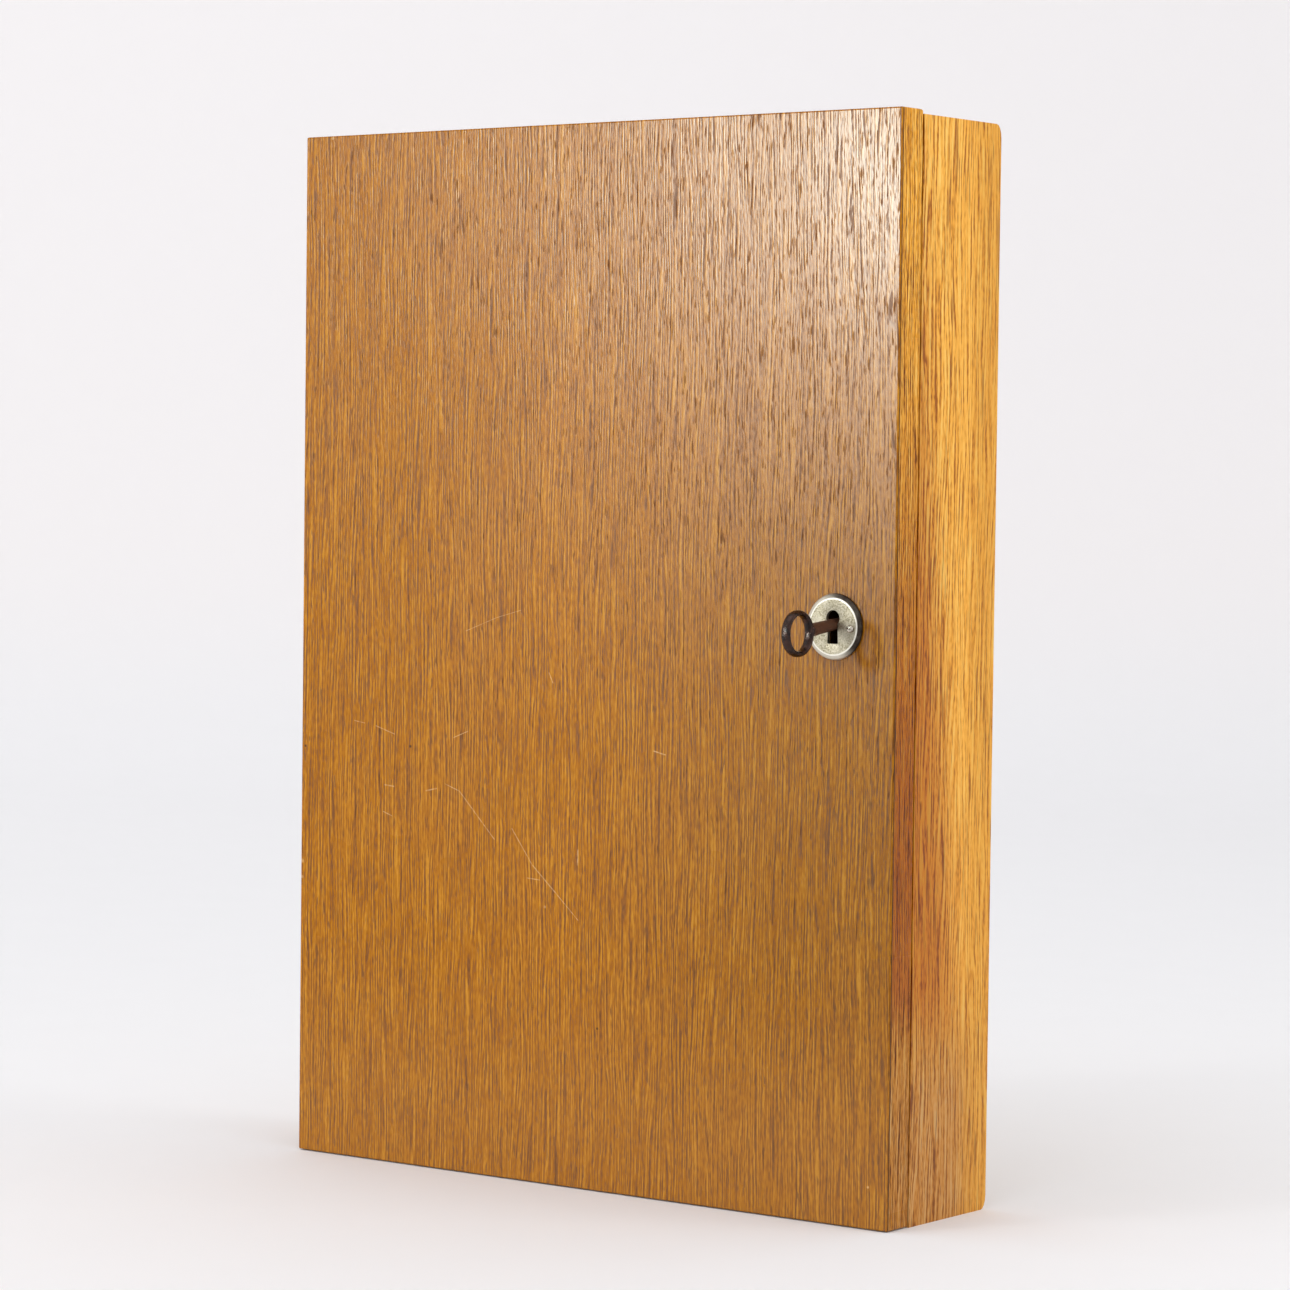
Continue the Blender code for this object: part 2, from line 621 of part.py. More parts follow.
def make_escutcheon(door):
    """A round keyhole plate with a sloping rim, held by two dome-headed pins."""
    rim = PLATE_RADIUS - PLATE_FACE_RADIUS
    profile = [(0.0, PLATE_THICKNESS), (PLATE_FACE_RADIUS, PLATE_THICKNESS)]
    profile += [(PLATE_FACE_RADIUS + x, y) for x, y in
                arc((0.0, PLATE_RIM_EDGE), rim, PLATE_THICKNESS - PLATE_RIM_EDGE, 60, 0, 3)]
    profile += [(PLATE_RADIUS, 0.0), (0.0, 0.0)]
    plate = turned("escutcheon", profile, 40, "nickel")
    plate.location = (PLATE_X, DOOR_FRONT - GAP, PLATE_Z)
    plate.rotation_euler = FACING_FRONT
    drop = KEYHOLE_RISE + KEYHOLE_DROP
    cut(plate, slab("plate_keyhole", keyhole_outline(KEYHOLE_RADIUS, SLOT_TOP, SLOT_FOOT, drop),
                    2 * (PLATE_THICKNESS + OVERRUN), (PLATE_X, DOOR_FRONT, KEY_Z), FACING_FRONT))
    margin = DOOR_KEYHOLE_MARGIN
    door_slot = SLOT_TOP + 2 * margin
    cut(door, slab("door_keyhole",
                   keyhole_outline(KEYHOLE_RADIUS + margin, door_slot, door_slot, drop + margin),
                   DOOR_THICKNESS + 2 * OVERRUN, (PLATE_X, (DOOR_FRONT + DOOR_REAR) / 2, KEY_Z),
                   FACING_FRONT))
    pieces = [plate]
    plate_face = DOOR_FRONT - GAP - PLATE_THICKNESS
    for side, offset in (("left", -PLATE_PIN_OFFSET), ("right", PLATE_PIN_OFFSET)):
        head = Vector((PLATE_X + offset, plate_face - GAP, PLATE_Z - PLATE_PIN_DROP))
        hole = screw_hole(f"pin_hole_{side}", head, (0, 1, 0), PLATE_PIN_RADIUS + GAP, PLATE_PIN_LENGTH)
        cut(plate, hole)
        cut(door, hole)
        dome = [(radius, height) for height, radius in
                arc((0, 0), PLATE_PIN_DOME_HEIGHT, PLATE_PIN_DOME_RADIUS, 0, 90, 3)]
        shank = [(PLATE_PIN_RADIUS, 0.0), (PLATE_PIN_RADIUS, -PLATE_PIN_LENGTH * 0.85),
                 (0.0, -PLATE_PIN_LENGTH)]
        pin = turned(f"escutcheon_pin_{side}", dome + shank, 12, "nickel")
        pin.location = head
        pin.rotation_euler = FACING_FRONT
        pieces.append(pin)
    return pieces


# ---------------------------------------------------------------- key

def make_key():
    """Ring bow, tapered round shank and a bit; built along local Y and drooped about the pivot."""
    shank_end = KEY_BOW_CENTRE + KEY_BOW_RADIUS
    profile = [(0.0, KEY_TIP), (KEY_SHANK_RADIUS * 0.6, KEY_TIP),
               (KEY_SHANK_RADIUS, KEY_TIP - 0.0012), (KEY_SHANK_RADIUS, -0.0200),
               (KEY_SHANK_BOW_RADIUS, shank_end + KEY_SHANK_SWELL),
               (KEY_SHANK_BOW_RADIUS, shank_end), (0.0, shank_end)]
    key = turned("key", profile, 18, "browned_steel")
    key.location = KEY_PIVOT
    key.rotation_euler = (KEY_DROOP - math.pi / 2, 0.0, 0.0)    # the turned shank's Z points inwards

    bpy.ops.mesh.primitive_torus_add(major_radius=KEY_BOW_RADIUS, minor_radius=KEY_BOW_SECTION,
                                     major_segments=32, minor_segments=10)
    ring = bpy.context.active_object
    ring.name = "key_bow_ring"
    ring.data.transform(Matrix.Diagonal((1.0, 1.0, KEY_BOW_STRETCH, 1.0)))
    for collection in list(ring.users_collection):
        collection.objects.unlink(ring)
    link(ring, None)
    ring.rotation_euler = (0.0, math.radians(90), 0.0)
    ring.location = KEY_PIVOT + on_key_axis(KEY_BOW_CENTRE)

    bit = box("key_bit", (-BIT_THICKNESS / 2, BIT_START, -BIT_REACH),
              (BIT_THICKNESS / 2, BIT_END, -KEY_SHANK_RADIUS * 0.4))
    (ward_start, ward_low), (ward_end, ward_high) = WARD_CUT
    step_end, step_high = STEP_CUT
    ward_cut = box("key_ward_cut", (-BIT_THICKNESS, ward_start, ward_low),
                   (BIT_THICKNESS, ward_end, ward_high))
    step_cut = box("key_step_cut", (-BIT_THICKNESS, BIT_START - OVERRUN, -BIT_REACH - OVERRUN),
                   (BIT_THICKNESS, step_end, step_high))
    for tool in (bit, ward_cut, step_cut):
        offset = tool.location.copy()
        tool.rotation_euler = (KEY_DROOP, 0.0, 0.0)
        tool.location = KEY_PIVOT + on_key_axis(offset.y) + across_key_axis(offset.z)
    unite(key, ring, bit)
    cut(key, ward_cut, step_cut)
    return key


def on_key_axis(distance):
    return Vector((0.0, math.cos(KEY_DROOP), math.sin(KEY_DROOP))) * distance


def across_key_axis(distance):
    return Vector((0.0, -math.sin(KEY_DROOP), math.cos(KEY_DROOP))) * distance


# ---------------------------------------------------------------- lock and strike

def make_lock(door):
    """A surface lock on the door's rear: plate with screw ears, folded case, bolt and its spring."""
    plate = box("lock_plate", (LOCK_LEFT, LOCK_PLATE_FRONT, CASE_LOW - LOCK_EAR),
                (LOCK_RIGHT, LOCK_PLATE_REAR, CASE_HIGH + LOCK_EAR), "lock_steel")
    plate_key_z = KEY_Z - (KEY_PIVOT.y - (LOCK_PLATE_FRONT + LOCK_PLATE_REAR) / 2) * math.tan(KEY_DROOP)
    radius, width, drop = INNER_KEYHOLE
    cut(plate, slab("lock_plate_keyhole", keyhole_outline(radius, width, width, drop),
                    4 * LOCK_PLATE_THICKNESS, (PLATE_X, LOCK_PLATE_REAR, plate_key_z), FACING_FRONT))
    pieces = [plate, make_lock_case(), make_bolt(), make_bolt_spring()]
    for row, z in (("low", CASE_LOW - LOCK_EAR / 2), ("high", CASE_HIGH + LOCK_EAR / 2)):
        for side, x in (("left", LOCK_LEFT + LOCK_SCREW_INSET), ("right", LOCK_RIGHT - LOCK_SCREW_INSET)):
            head = (x, LOCK_PLATE_REAR + GAP, z)
            hole = screw_hole(f"lock_screw_hole_{row}_{side}", head, (0, -1, 0),
                              LOCK_SCREW_SHANK_RADIUS + GAP, LOCK_SCREW_LENGTH)
            cut(plate, hole)
            cut(door, hole)
            pieces.append(screw(f"lock_screw_{row}_{side}", head, (0, -1, 0), "lock_steel",
                                LOCK_SCREW_HEAD_RADIUS, 0.0, LOCK_SCREW_SHANK_RADIUS, LOCK_SCREW_LENGTH,
                                dome=LOCK_SCREW_DOME))
    return pieces


def make_lock_case():
    case = box("lock_case", (LOCK_LEFT, CASE_FRONT, CASE_LOW), (LOCK_RIGHT, CASE_REAR, CASE_HIGH),
               "lock_steel")
    cut(case, box("lock_case_inside",
                  (LOCK_LEFT + LOCK_WALL, CASE_FRONT - OVERRUN, CASE_LOW + LOCK_WALL),
                  (LOCK_RIGHT - LOCK_WALL, CASE_REAR - LOCK_WALL, CASE_HIGH - LOCK_WALL)))
    half = BOLT_THICKNESS / 2 + GAP
    cut(case, box("bolt_window", (LOCK_RIGHT - 2 * LOCK_WALL, BOLT_Y - half, BOLT_LOW - GAP),
                  (LOCK_RIGHT + OVERRUN, BOLT_Y + half, BOLT_HIGH + GAP)))
    wall = CASE_REAR - LOCK_WALL / 2
    tip_z = KEY_Z + (wall - KEY_PIVOT.y) * math.tan(KEY_DROOP)
    cut(case, cone("key_tip_hole", (PLATE_X, wall - LOCK_WALL, tip_z), (PLATE_X, wall + LOCK_WALL, tip_z),
                   KEY_TIP_HOLE_RADIUS, KEY_TIP_HOLE_RADIUS, 20))
    unite(case, cone("bolt_post", (POST_X, LOCK_PLATE_REAR + 0.0012, BOLT_MIDDLE),
                     (POST_X, wall, BOLT_MIDDLE), POST_RADIUS, POST_RADIUS, 16))
    return case


def make_bolt():
    """A flat bolt with a talon notch for the key's bit and a slot that runs on the case's post."""
    half = BOLT_THICKNESS / 2
    bolt = box("lock_bolt", (BOLT_TAIL, BOLT_Y - half, BOLT_LOW), (BOLT_TIP, BOLT_Y + half, BOLT_HIGH),
               "lock_steel")
    cut(bolt, box("bolt_talon", (PLATE_X - TALON_LEFT, BOLT_Y - 2 * half, BOLT_LOW - OVERRUN),
                  (PLATE_X + TALON_RIGHT, BOLT_Y + 2 * half, BIT_Z + BIT_REACH + 0.0007)))
    slot_half = POST_RADIUS + GAP
    slot = arc((0, 0), slot_half, slot_half, -90, 90, 6)
    slot += arc((-BOLT_TRAVEL, 0), slot_half, slot_half, 90, 270, 6)
    cut(bolt, slab("bolt_slot", slot, 3 * BOLT_THICKNESS, (POST_X, BOLT_Y, BOLT_MIDDLE), FACING_FRONT))
    return bolt


def make_bolt_spring():
    """An arched leaf spring that rides on the bolt's back and presses up in the case."""
    steps = 10
    low = [(SPRING_LENGTH * i / steps, SPRING_RISE * math.sin(math.pi * i / steps))
           for i in range(steps + 1)]
    high = [(x, z + SPRING_THICKNESS) for x, z in reversed(low)]
    return slab("bolt_spring", low + high, SPRING_WIDTH, (BOLT_TAIL + 0.0020, BOLT_Y, BOLT_HIGH + GAP),
                FACING_FRONT, "lock_steel")


def make_strike(side_right):
    """A strike plate let flush into the right side, over a mortise for the bolt."""
    half_width = STRIKE_WIDTH / 2
    half_length = STRIKE_LENGTH / 2
    inner = SIDE_INNER
    plate = box("strike_plate", (inner, BOLT_Y - half_width, BOLT_MIDDLE - half_length),
                (inner + STRIKE_THICKNESS, BOLT_Y + half_width, BOLT_MIDDLE + half_length), "lock_steel")
    cut(side_right, box("strike_recess",
                        (inner - OVERRUN, BOLT_Y - half_width - GAP, BOLT_MIDDLE - half_length - GAP),
                        (inner + STRIKE_THICKNESS + GAP, BOLT_Y + half_width + GAP,
                         BOLT_MIDDLE + half_length + GAP)))
    half_y = BOLT_THICKNESS / 2 + MORTISE_CLEARANCE
    mortise = box("bolt_mortise",
                  (inner - OVERRUN, BOLT_Y - half_y, BOLT_LOW - MORTISE_CLEARANCE),
                  (inner + MORTISE_DEPTH, BOLT_Y + half_y, BOLT_HIGH + MORTISE_CLEARANCE))
    cut(plate, mortise)
    cut(side_right, mortise)
    for place, offset in (("low", -STRIKE_SCREW_OFFSET), ("high", STRIKE_SCREW_OFFSET)):
        head = (inner, BOLT_Y, BOLT_MIDDLE + offset)
        cut(plate, countersink(f"strike_sink_{place}", head, (1, 0, 0), SUNK_HEAD_RADIUS,
                               SUNK_SHANK_RADIUS, STRIKE_THICKNESS + GAP))
        cut(side_right, screw_hole(f"strike_pilot_{place}", head, (1, 0, 0), SUNK_SHANK_RADIUS + GAP,
                                   STRIKE_SCREW_LENGTH))
        screw(f"strike_screw_{place}", head, (1, 0, 0), "lock_steel", SUNK_HEAD_RADIUS,
              STRIKE_THICKNESS + GAP, SUNK_SHANK_RADIUS, STRIKE_SCREW_LENGTH)


# ---------------------------------------------------------------- assembly

def build_cabinet():
    sides = make_carcass()
    make_hooks(make_rails())
    make_strike(sides["side_right"])
    door = make_door()
    on_door = [door, *make_hinges(sides["side_left"], door), *make_escutcheon(door), *make_lock(door)]
    door_axis = axis_empty("door_axis", (HINGE_X, HINGE_Y, 0.0))
    key = make_key()
    hang_on(door_axis, *on_door, key)


build_cabinet()
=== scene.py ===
"""Looks of the wooden key cabinet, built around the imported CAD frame.

The CAD boards, hinges and lock stay as they are and get detailed materials, and the outer boards'
arrises are softened. The keyhole plate, its pins, the key, the hooks and the screws are replaced by
finer pieces of the same size.
"""
import json
import math

import bmesh
import bpy
from mathutils import Matrix, Vector


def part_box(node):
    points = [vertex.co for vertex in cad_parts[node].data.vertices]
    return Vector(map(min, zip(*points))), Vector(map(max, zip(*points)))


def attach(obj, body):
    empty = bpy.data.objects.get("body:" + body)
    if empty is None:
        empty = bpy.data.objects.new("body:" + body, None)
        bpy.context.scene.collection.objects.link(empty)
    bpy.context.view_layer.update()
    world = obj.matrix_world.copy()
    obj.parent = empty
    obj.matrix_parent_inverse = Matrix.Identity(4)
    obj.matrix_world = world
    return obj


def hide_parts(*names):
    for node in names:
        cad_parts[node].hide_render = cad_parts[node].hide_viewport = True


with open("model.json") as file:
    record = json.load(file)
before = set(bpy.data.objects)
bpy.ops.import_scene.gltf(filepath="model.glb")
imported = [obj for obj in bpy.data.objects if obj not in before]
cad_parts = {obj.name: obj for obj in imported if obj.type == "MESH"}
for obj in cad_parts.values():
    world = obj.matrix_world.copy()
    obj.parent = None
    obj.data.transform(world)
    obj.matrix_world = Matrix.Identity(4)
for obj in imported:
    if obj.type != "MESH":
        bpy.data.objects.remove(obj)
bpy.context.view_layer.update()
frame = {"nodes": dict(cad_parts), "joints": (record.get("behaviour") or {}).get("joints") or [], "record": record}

NODES = frame["nodes"]
JOINTS = {joint["name"]: joint for joint in frame["joints"]}
SLOT_OF = {part["node"]: part["material_slot"] for part in frame["record"]["subparts"]}
BODY_OF = {node: body for body, nodes in frame["record"]["behaviour"]["bodies"].items() for node in nodes}
MM = 1000.0                       # materials work in millimetres

DOOR_ARRIS = 0.0009
BOARD_ARRIS = 0.0006

# Places read from the frame, in metres
DOOR_LOW, DOOR_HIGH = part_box("door")
PLATE_LOW, PLATE_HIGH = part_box("escutcheon")
PLATE_CENTRE = (PLATE_LOW + PLATE_HIGH) / 2
KEY_PIVOT = Vector(JOINTS["key_turn"]["pos_m"])
KEY_AXIS = Vector(JOINTS["key_turn"]["axis"]).normalized()
RAIL_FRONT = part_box("hook_rail_1")[0].y

# Keyhole plate
PLATE_RADIUS = 0.0150
PLATE_FACE_RADIUS = 0.0131
PLATE_THICKNESS = 0.0020
KEYHOLE_RADIUS = 0.0036
KEYHOLE_HALF_TOP = 0.00258
KEYHOLE_HALF_FOOT = 0.00285
KEYHOLE_DROP = 0.0115             # from the round part's centre to the slot's foot
PIN_DOME = 0.0014
PIN_RADIUS = 0.00190

# Key, along its axis from the pivot, positive inwards
BOW_CENTRE = -0.0506
BOW_RADIUS = 0.0091
BOW_SECTION = 0.00138
BOW_STRETCH = 1.7
SHANK_RADIUS = 0.00235            # inside the lock
SHANK_OUTER_RADIUS = 0.00265      # in front of the plate
SHANK_BOW_RADIUS = 0.00295
KEY_TIP = 0.0110
BIT_START = 0.0010
BIT_END = 0.0055
BIT_REACH = 0.0103
BIT_THICKNESS = 0.0023
WARD_SLIT = ((-0.003, -0.0078, 0.0027), (0.003, -0.0052, 0.0037))       # low and high corners
WARD_STEP = ((-0.003, -BIT_REACH - 0.001, 0.0), (0.003, -0.0094, 0.0024))
KEY_VOXEL = 0.00022

# Hooks
HOOK_WIRE = 0.0013
HOOK_REACH = 0.013
HOOK_RISE = 0.012
HOOK_ELBOW = 0.0035
HOOK_THREAD = 0.0082
HOOK_COLLAR = 0.0031
HOOK_SIDES = 20

# Screws
SCREW_DOME = 0.0015
SCREW_SLOT = ((-0.0003, -0.004, -0.0006), (0.0003, 0.004, 0.001))       # low and high corners


# ---------------------------------------------------------------- shader graphs

def srgb(red, green, blue):
    """Linear colour from the 0 to 255 values of a display colour."""
    def linear(value):
        value /= 255
        return value / 12.92 if value <= 0.04045 else ((value + 0.055) / 1.055) ** 2.4
    return (linear(red), linear(green), linear(blue), 1.0)


class Graph:
    """Short calls that add nodes to one material and return their output sockets."""

    def __init__(self, name):
        self.material = bpy.data.materials.new(name)
        self.material.use_nodes = True
        self.tree = self.material.node_tree
        self.shader = self.tree.nodes["Principled BSDF"]

    def put(self, socket, value):
        if isinstance(value, bpy.types.NodeSocket):
            self.tree.links.new(value, socket)
        else:
            socket.default_value = value

    def add(self, kind, inputs=None, **settings):
        node = self.tree.nodes.new(kind)
        for key, value in settings.items():
            setattr(node, key, value)
        for key, value in (inputs or {}).items():
            self.put(node.inputs[key], value)
        return node

    def set(self, **values):
        """Set or link inputs of the Principled shader, with _ for the spaces in their names."""
        for key, value in values.items():
            self.put(self.shader.inputs[key.replace("_", " ")], value)

    def math(self, operation, a, b=0.0):
        return self.add("ShaderNodeMath", {0: a, 1: b}, operation=operation).outputs[0]

    def plus(self, a, b):
        return self.math('ADD', a, b)

    def minus(self, a, b):
        return self.math('SUBTRACT', a, b)

    def times(self, a, b):
        return self.math('MULTIPLY', a, b)

    def either(self, a, b):
        return self.math('MAXIMUM', a, b)

    def step(self, value, low, high, out_low=0.0, out_high=1.0):
        """Smooth step of value from low to high."""
        node = self.add("ShaderNodeMapRange", {0: value, 1: low, 2: high, 3: out_low, 4: out_high},
                        interpolation_type='SMOOTHSTEP')
        return node.outputs[0]

    def scale(self, value, low, high, out_low=0.0, out_high=1.0):
        """Straight-line map of value, clamped."""
        node = self.add("ShaderNodeMapRange", {0: value, 1: low, 2: high, 3: out_low, 4: out_high})
        return node.outputs[0]

    def vector(self, x, y, z):
        return self.add("ShaderNodeCombineXYZ", {0: x, 1: y, 2: z}).outputs[0]

    def position(self):
        """x, y and z in millimetres in the object's own space."""
        coords = self.add("ShaderNodeTexCoord").outputs["Object"]
        scaled = self.add("ShaderNodeVectorMath", {0: coords, 3: MM}, operation='SCALE').outputs[0]
        parts = self.add("ShaderNodeSeparateXYZ", {0: scaled})
        return parts.outputs[0], parts.outputs[1], parts.outputs[2]

    def noise(self, vector, detail=2.0, roughness=0.5, scale=1.0):
        node = self.add("ShaderNodeTexNoise", {"Vector": vector, "Scale": scale, "Detail": detail,
                                               "Roughness": roughness})
        return node.outputs[0]

    def mix(self, factor, a, b, blend='MIX'):
        node = self.add("ShaderNodeMix", data_type='RGBA', blend_type=blend)
        self.put(node.inputs[0], factor)
        self.put(node.inputs[6], a)
        self.put(node.inputs[7], b)
        return node.outputs[2]

    def blend(self, factor, a, b):
        """Mix of two numbers."""
        node = self.add("ShaderNodeMix", {0: factor, 2: a, 3: b}, data_type='FLOAT')
        return node.outputs[0]

    def ramp(self, factor, stops):
        """Colour ramp from (place, colour) stops."""
        node = self.add("ShaderNodeValToRGB", {0: factor})
        elements = node.color_ramp.elements
        while len(elements) < len(stops):
            elements.new(1.0)
        for element, (place, colour) in zip(elements, stops):
            element.position = place
            element.color = colour
        return node.outputs[0]

    def bump(self, height, distance_mm):
        node = self.add("ShaderNodeBump", {"Height": height, "Distance": distance_mm / MM})
        return node.outputs[0]


# ---------------------------------------------------------------- wood

FACE_GRAIN = {"wander": 9.0, "ripple": 1.6, "band": 15.0, "coarse": 2.5, "fine": 1.75, "length": 16.0,
              "slope": 1.0}
BOARD_GRAIN = {"wander": 12.0, "ripple": 2.0, "band": 11.0, "coarse": 4.6, "fine": 2.6, "length": 34.0,
               "slope": 0.85}


def wood_pattern(g, across, depth, along, grain):
    """Grain fields of a board from places in millimetres: tone, open pores and fine fibre."""
    def field(width, length, detail=0.0, shift=0.0):
        vector = g.vector(g.plus(g.times(u, 1 / width), shift), g.times(depth, 1 / width),
                          g.times(along, 1 / length))
        return g.minus(g.noise(vector, detail), 0.5)

    def lines(spacing, shift):
        """Long fine lines of uneven spacing that fade in and out, from -1 to 1."""
        turns = g.plus(g.times(u, 1 / spacing), g.times(field(spacing * 3.0, 90.0, 1.0, shift), 4.5))
        wave = g.math('SINE', g.times(turns, 2 * math.pi))
        strength = g.step(field(spacing * 0.8, grain["length"], 1.0, shift + 40.0), -0.16, 0.12, 0.15, 1.0)
        return g.times(wave, strength)

    drift = g.noise(g.vector(g.times(across, 1 / 70), 0.0, g.times(along, 1 / 260)), 1.0)
    ripple = g.noise(g.vector(g.times(across, 1 / 8), 0.0, g.times(along, 1 / 34)), 1.0)
    u = g.plus(across, g.times(g.minus(drift, 0.5), grain["wander"]))
    u = g.plus(u, g.times(g.minus(ripple, 0.5), grain["ripple"]))
    coarse = lines(grain["coarse"], 17.0)
    fine = lines(grain["fine"], 31.0)
    fibre = field(0.75, 3.0, 0.0, 83.0)
    layers = [(0.10, field(grain["band"], 420.0, 1.0)), (0.12, field(4.0, 110.0, 1.0, 57.0)),
              (0.13, coarse), (0.24, fine), (0.36, fibre)]
    tone = 0.5
    for weight, layer in layers:
        tone = g.plus(tone, g.times(layer, weight * grain["slope"]))
    pores = g.step(field(0.75, grain["length"] * 0.5, 1.0, 117.0), 0.11, 0.20)
    height = g.plus(g.times(coarse, 0.35), g.plus(g.times(fine, 0.3), fibre))
    return {"tone": tone, "pores": pores, "height": g.minus(height, pores)}


def wood_colour(g, pattern, stops, pore_colour, pore_mix):
    return g.mix(g.times(pattern["pores"], pore_mix), g.ramp(pattern["tone"], stops), pore_colour)


def tinted(g, colour, mask, red, green, blue):
    """The colour times a linear tint where the mask is 1."""
    return g.mix(mask, colour, (red, green, blue, 1.0), 'MULTIPLY')


def line_mark(g, x, z, start, end, width):
    """Mask of a thin scratch between two (x, z) points on the door's front, in millimetres."""
    run_x, run_z = end[0] - start[0], end[1] - start[1]
    length = math.hypot(run_x, run_z)
    unit_x, unit_z = run_x / length, run_z / length
    dx = g.minus(x, start[0])
    dz = g.minus(z, start[1])
    along = g.plus(g.times(dx, unit_x), g.times(dz, unit_z))
    off = g.minus(g.times(dx, unit_z), g.times(dz, unit_x))
    near = g.step(g.math('ABSOLUTE', off), width * 1.1, width * 0.2)
    past_middle = g.math('ABSOLUTE', g.minus(along, length / 2))
    return g.times(near, g.step(past_middle, length / 2 + width, length / 2 - width))


def spot_mark(g, x, z, centre, radius):
    dx = g.minus(x, centre[0])
    dz = g.minus(z, centre[1])
    distance = g.math('SQRT', g.plus(g.times(dx, dx), g.times(dz, dz)))
    return g.step(distance, radius, radius * 0.4)


def strongest(g, masks):
    """The highest of several masks at each place."""
    result = masks[0]
    for mask in masks[1:]:
        result = g.either(result, mask)
    return result


# Wear on the door's front, as (x, z) in millimetres, with a width or radius
SCRATCHES = [
    ((-83, 187), (-74, 184), 0.30), ((-74, 184), (-64, 174), 0.40), ((-64, 174), (-52, 162), 0.34),
    ((-41.5, 168), (-29, 151.5), 0.34), ((-29, 151.5), (-14, 138.5), 0.40),
    ((-14, 138.5), (-1, 127), 0.30), ((-95, 183), (-88, 184.5), 0.45),
    ((-121, 184.5), (-115, 184), 0.45), ((-127, 213), (-115, 209.5), 0.30),
    ((-141, 215), (-134, 214), 0.30), ((-78, 209.5), (-69, 213), 0.32), ((42, 209), (49, 207.5), 0.40),
    ((-32, 145), (-24, 144.5), 0.30), ((-122, 171.5), (-116, 169.5), 0.30),
    ((-1.6, 160.5), (-1.7, 153), 0.45), ((-7, 420), (-6.9, 415), 0.50),
    ((-71, 261), (-52, 268), 0.22), ((-52, 268), (-37, 272), 0.18), ((-20, 243), (-17.5, 238), 0.35),
]
PALE_SPOTS = [((-21, 132), 0.9), ((164.5, 19.5), 0.8), ((-174, 144), 1.4), ((-174, 136), 1.1),
              ((-158, 499.5), 1.2)]
DARK_SPOTS = [((-105, 204), 1.0), ((11, 77), 0.9), ((-172.5, 201), 0.9)]

DOOR_ROUGHNESS = (0.24, 0.30)
VENEER = 0.6                      # thickness, in millimetres
LIPPING = 4.0
KEYHOLE_CUT = (8.0, 16.0)         # half width and half height of the hole through the door, in millimetres
# radius of the painted shadow of the keyhole plate, in millimetres
PLATE_SHADOW_RADIUS = 21.0


def door_face_colour(g, x, z, pattern):
    """Veneer: painted shade towards the lower right, a pale painted reflection of the floor near the foot, and a
    paler figure up the middle.
    """
    colour = wood_colour(
        g, pattern,
        [(0.22, srgb(122, 69, 0)), (0.38, srgb(155, 92, 0)), (0.50, srgb(176, 109, 1)),
         (0.62, srgb(188, 121, 7)), (0.80, srgb(207, 142, 32))],
        srgb(96, 52, 2), 0.62)
    # painted shade: darker towards the lower right, fading near the foot, where the light from the left falls off
    painted_falloff_shade = g.times(g.step(x, -20.0, 150.0), g.step(z, 430.0, 250.0))
    painted_falloff_shade = g.times(painted_falloff_shade, g.step(z, 20.0, 140.0, 0.35, 1.0))
    colour = tinted(g, colour, painted_falloff_shade, 0.80, 0.83, 1.0)
    # painted reflection of the floor: a pale grey-brown haze over the lowest 120 mm of the front
    colour = g.mix(g.step(z, 120.0, 20.0, 0.0, 0.12), colour, srgb(176, 140, 104))
    figure = g.noise(g.vector(g.times(x, 1 / 16), 0.0, g.times(z, 1 / 80)), 2.0)
    heart = g.times(g.step(g.math('ABSOLUTE', g.plus(x, 14.0)), 26.0, 4.0), g.step(figure, 0.42, 0.62))
    return tinted(g, colour, heart, 1.09, 1.11, 1.18)


def door_edge_colour(g, y, z, pattern, front_line):
    """Lipping: painted shade from middle height down, a greyer painted reflection of the floor near the foot, and
    a dark glue line.
    """
    colour = wood_colour(
        g, pattern,
        [(0.24, srgb(120, 60, 0)), (0.38, srgb(200, 128, 20)), (0.50, srgb(232, 160, 44)),
         (0.62, srgb(246, 180, 66)), (0.78, srgb(252, 202, 100))],
        srgb(100, 50, 0), 0.7)
    # painted reflection of the floor: the foot of the lipping is tinted greyer and bluer
    floor_reflection_mask = g.step(z, 110.0, 55.0)
    # painted shade: darker from middle height down, as the light comes from high up
    painted_low_shade = g.times(g.step(z, 450.0, 180.0), g.minus(1.0, floor_reflection_mask))
    colour = tinted(g, colour, painted_low_shade, 0.47, 0.28, 0.05)
    colour = tinted(g, colour, floor_reflection_mask, 0.58, 0.52, 0.75)
    glue = g.step(g.math('ABSOLUTE', g.minus(y, front_line + 0.25)), 0.55, 0.35)
    return g.mix(g.times(glue, 0.85), colour, srgb(40, 22, 10))


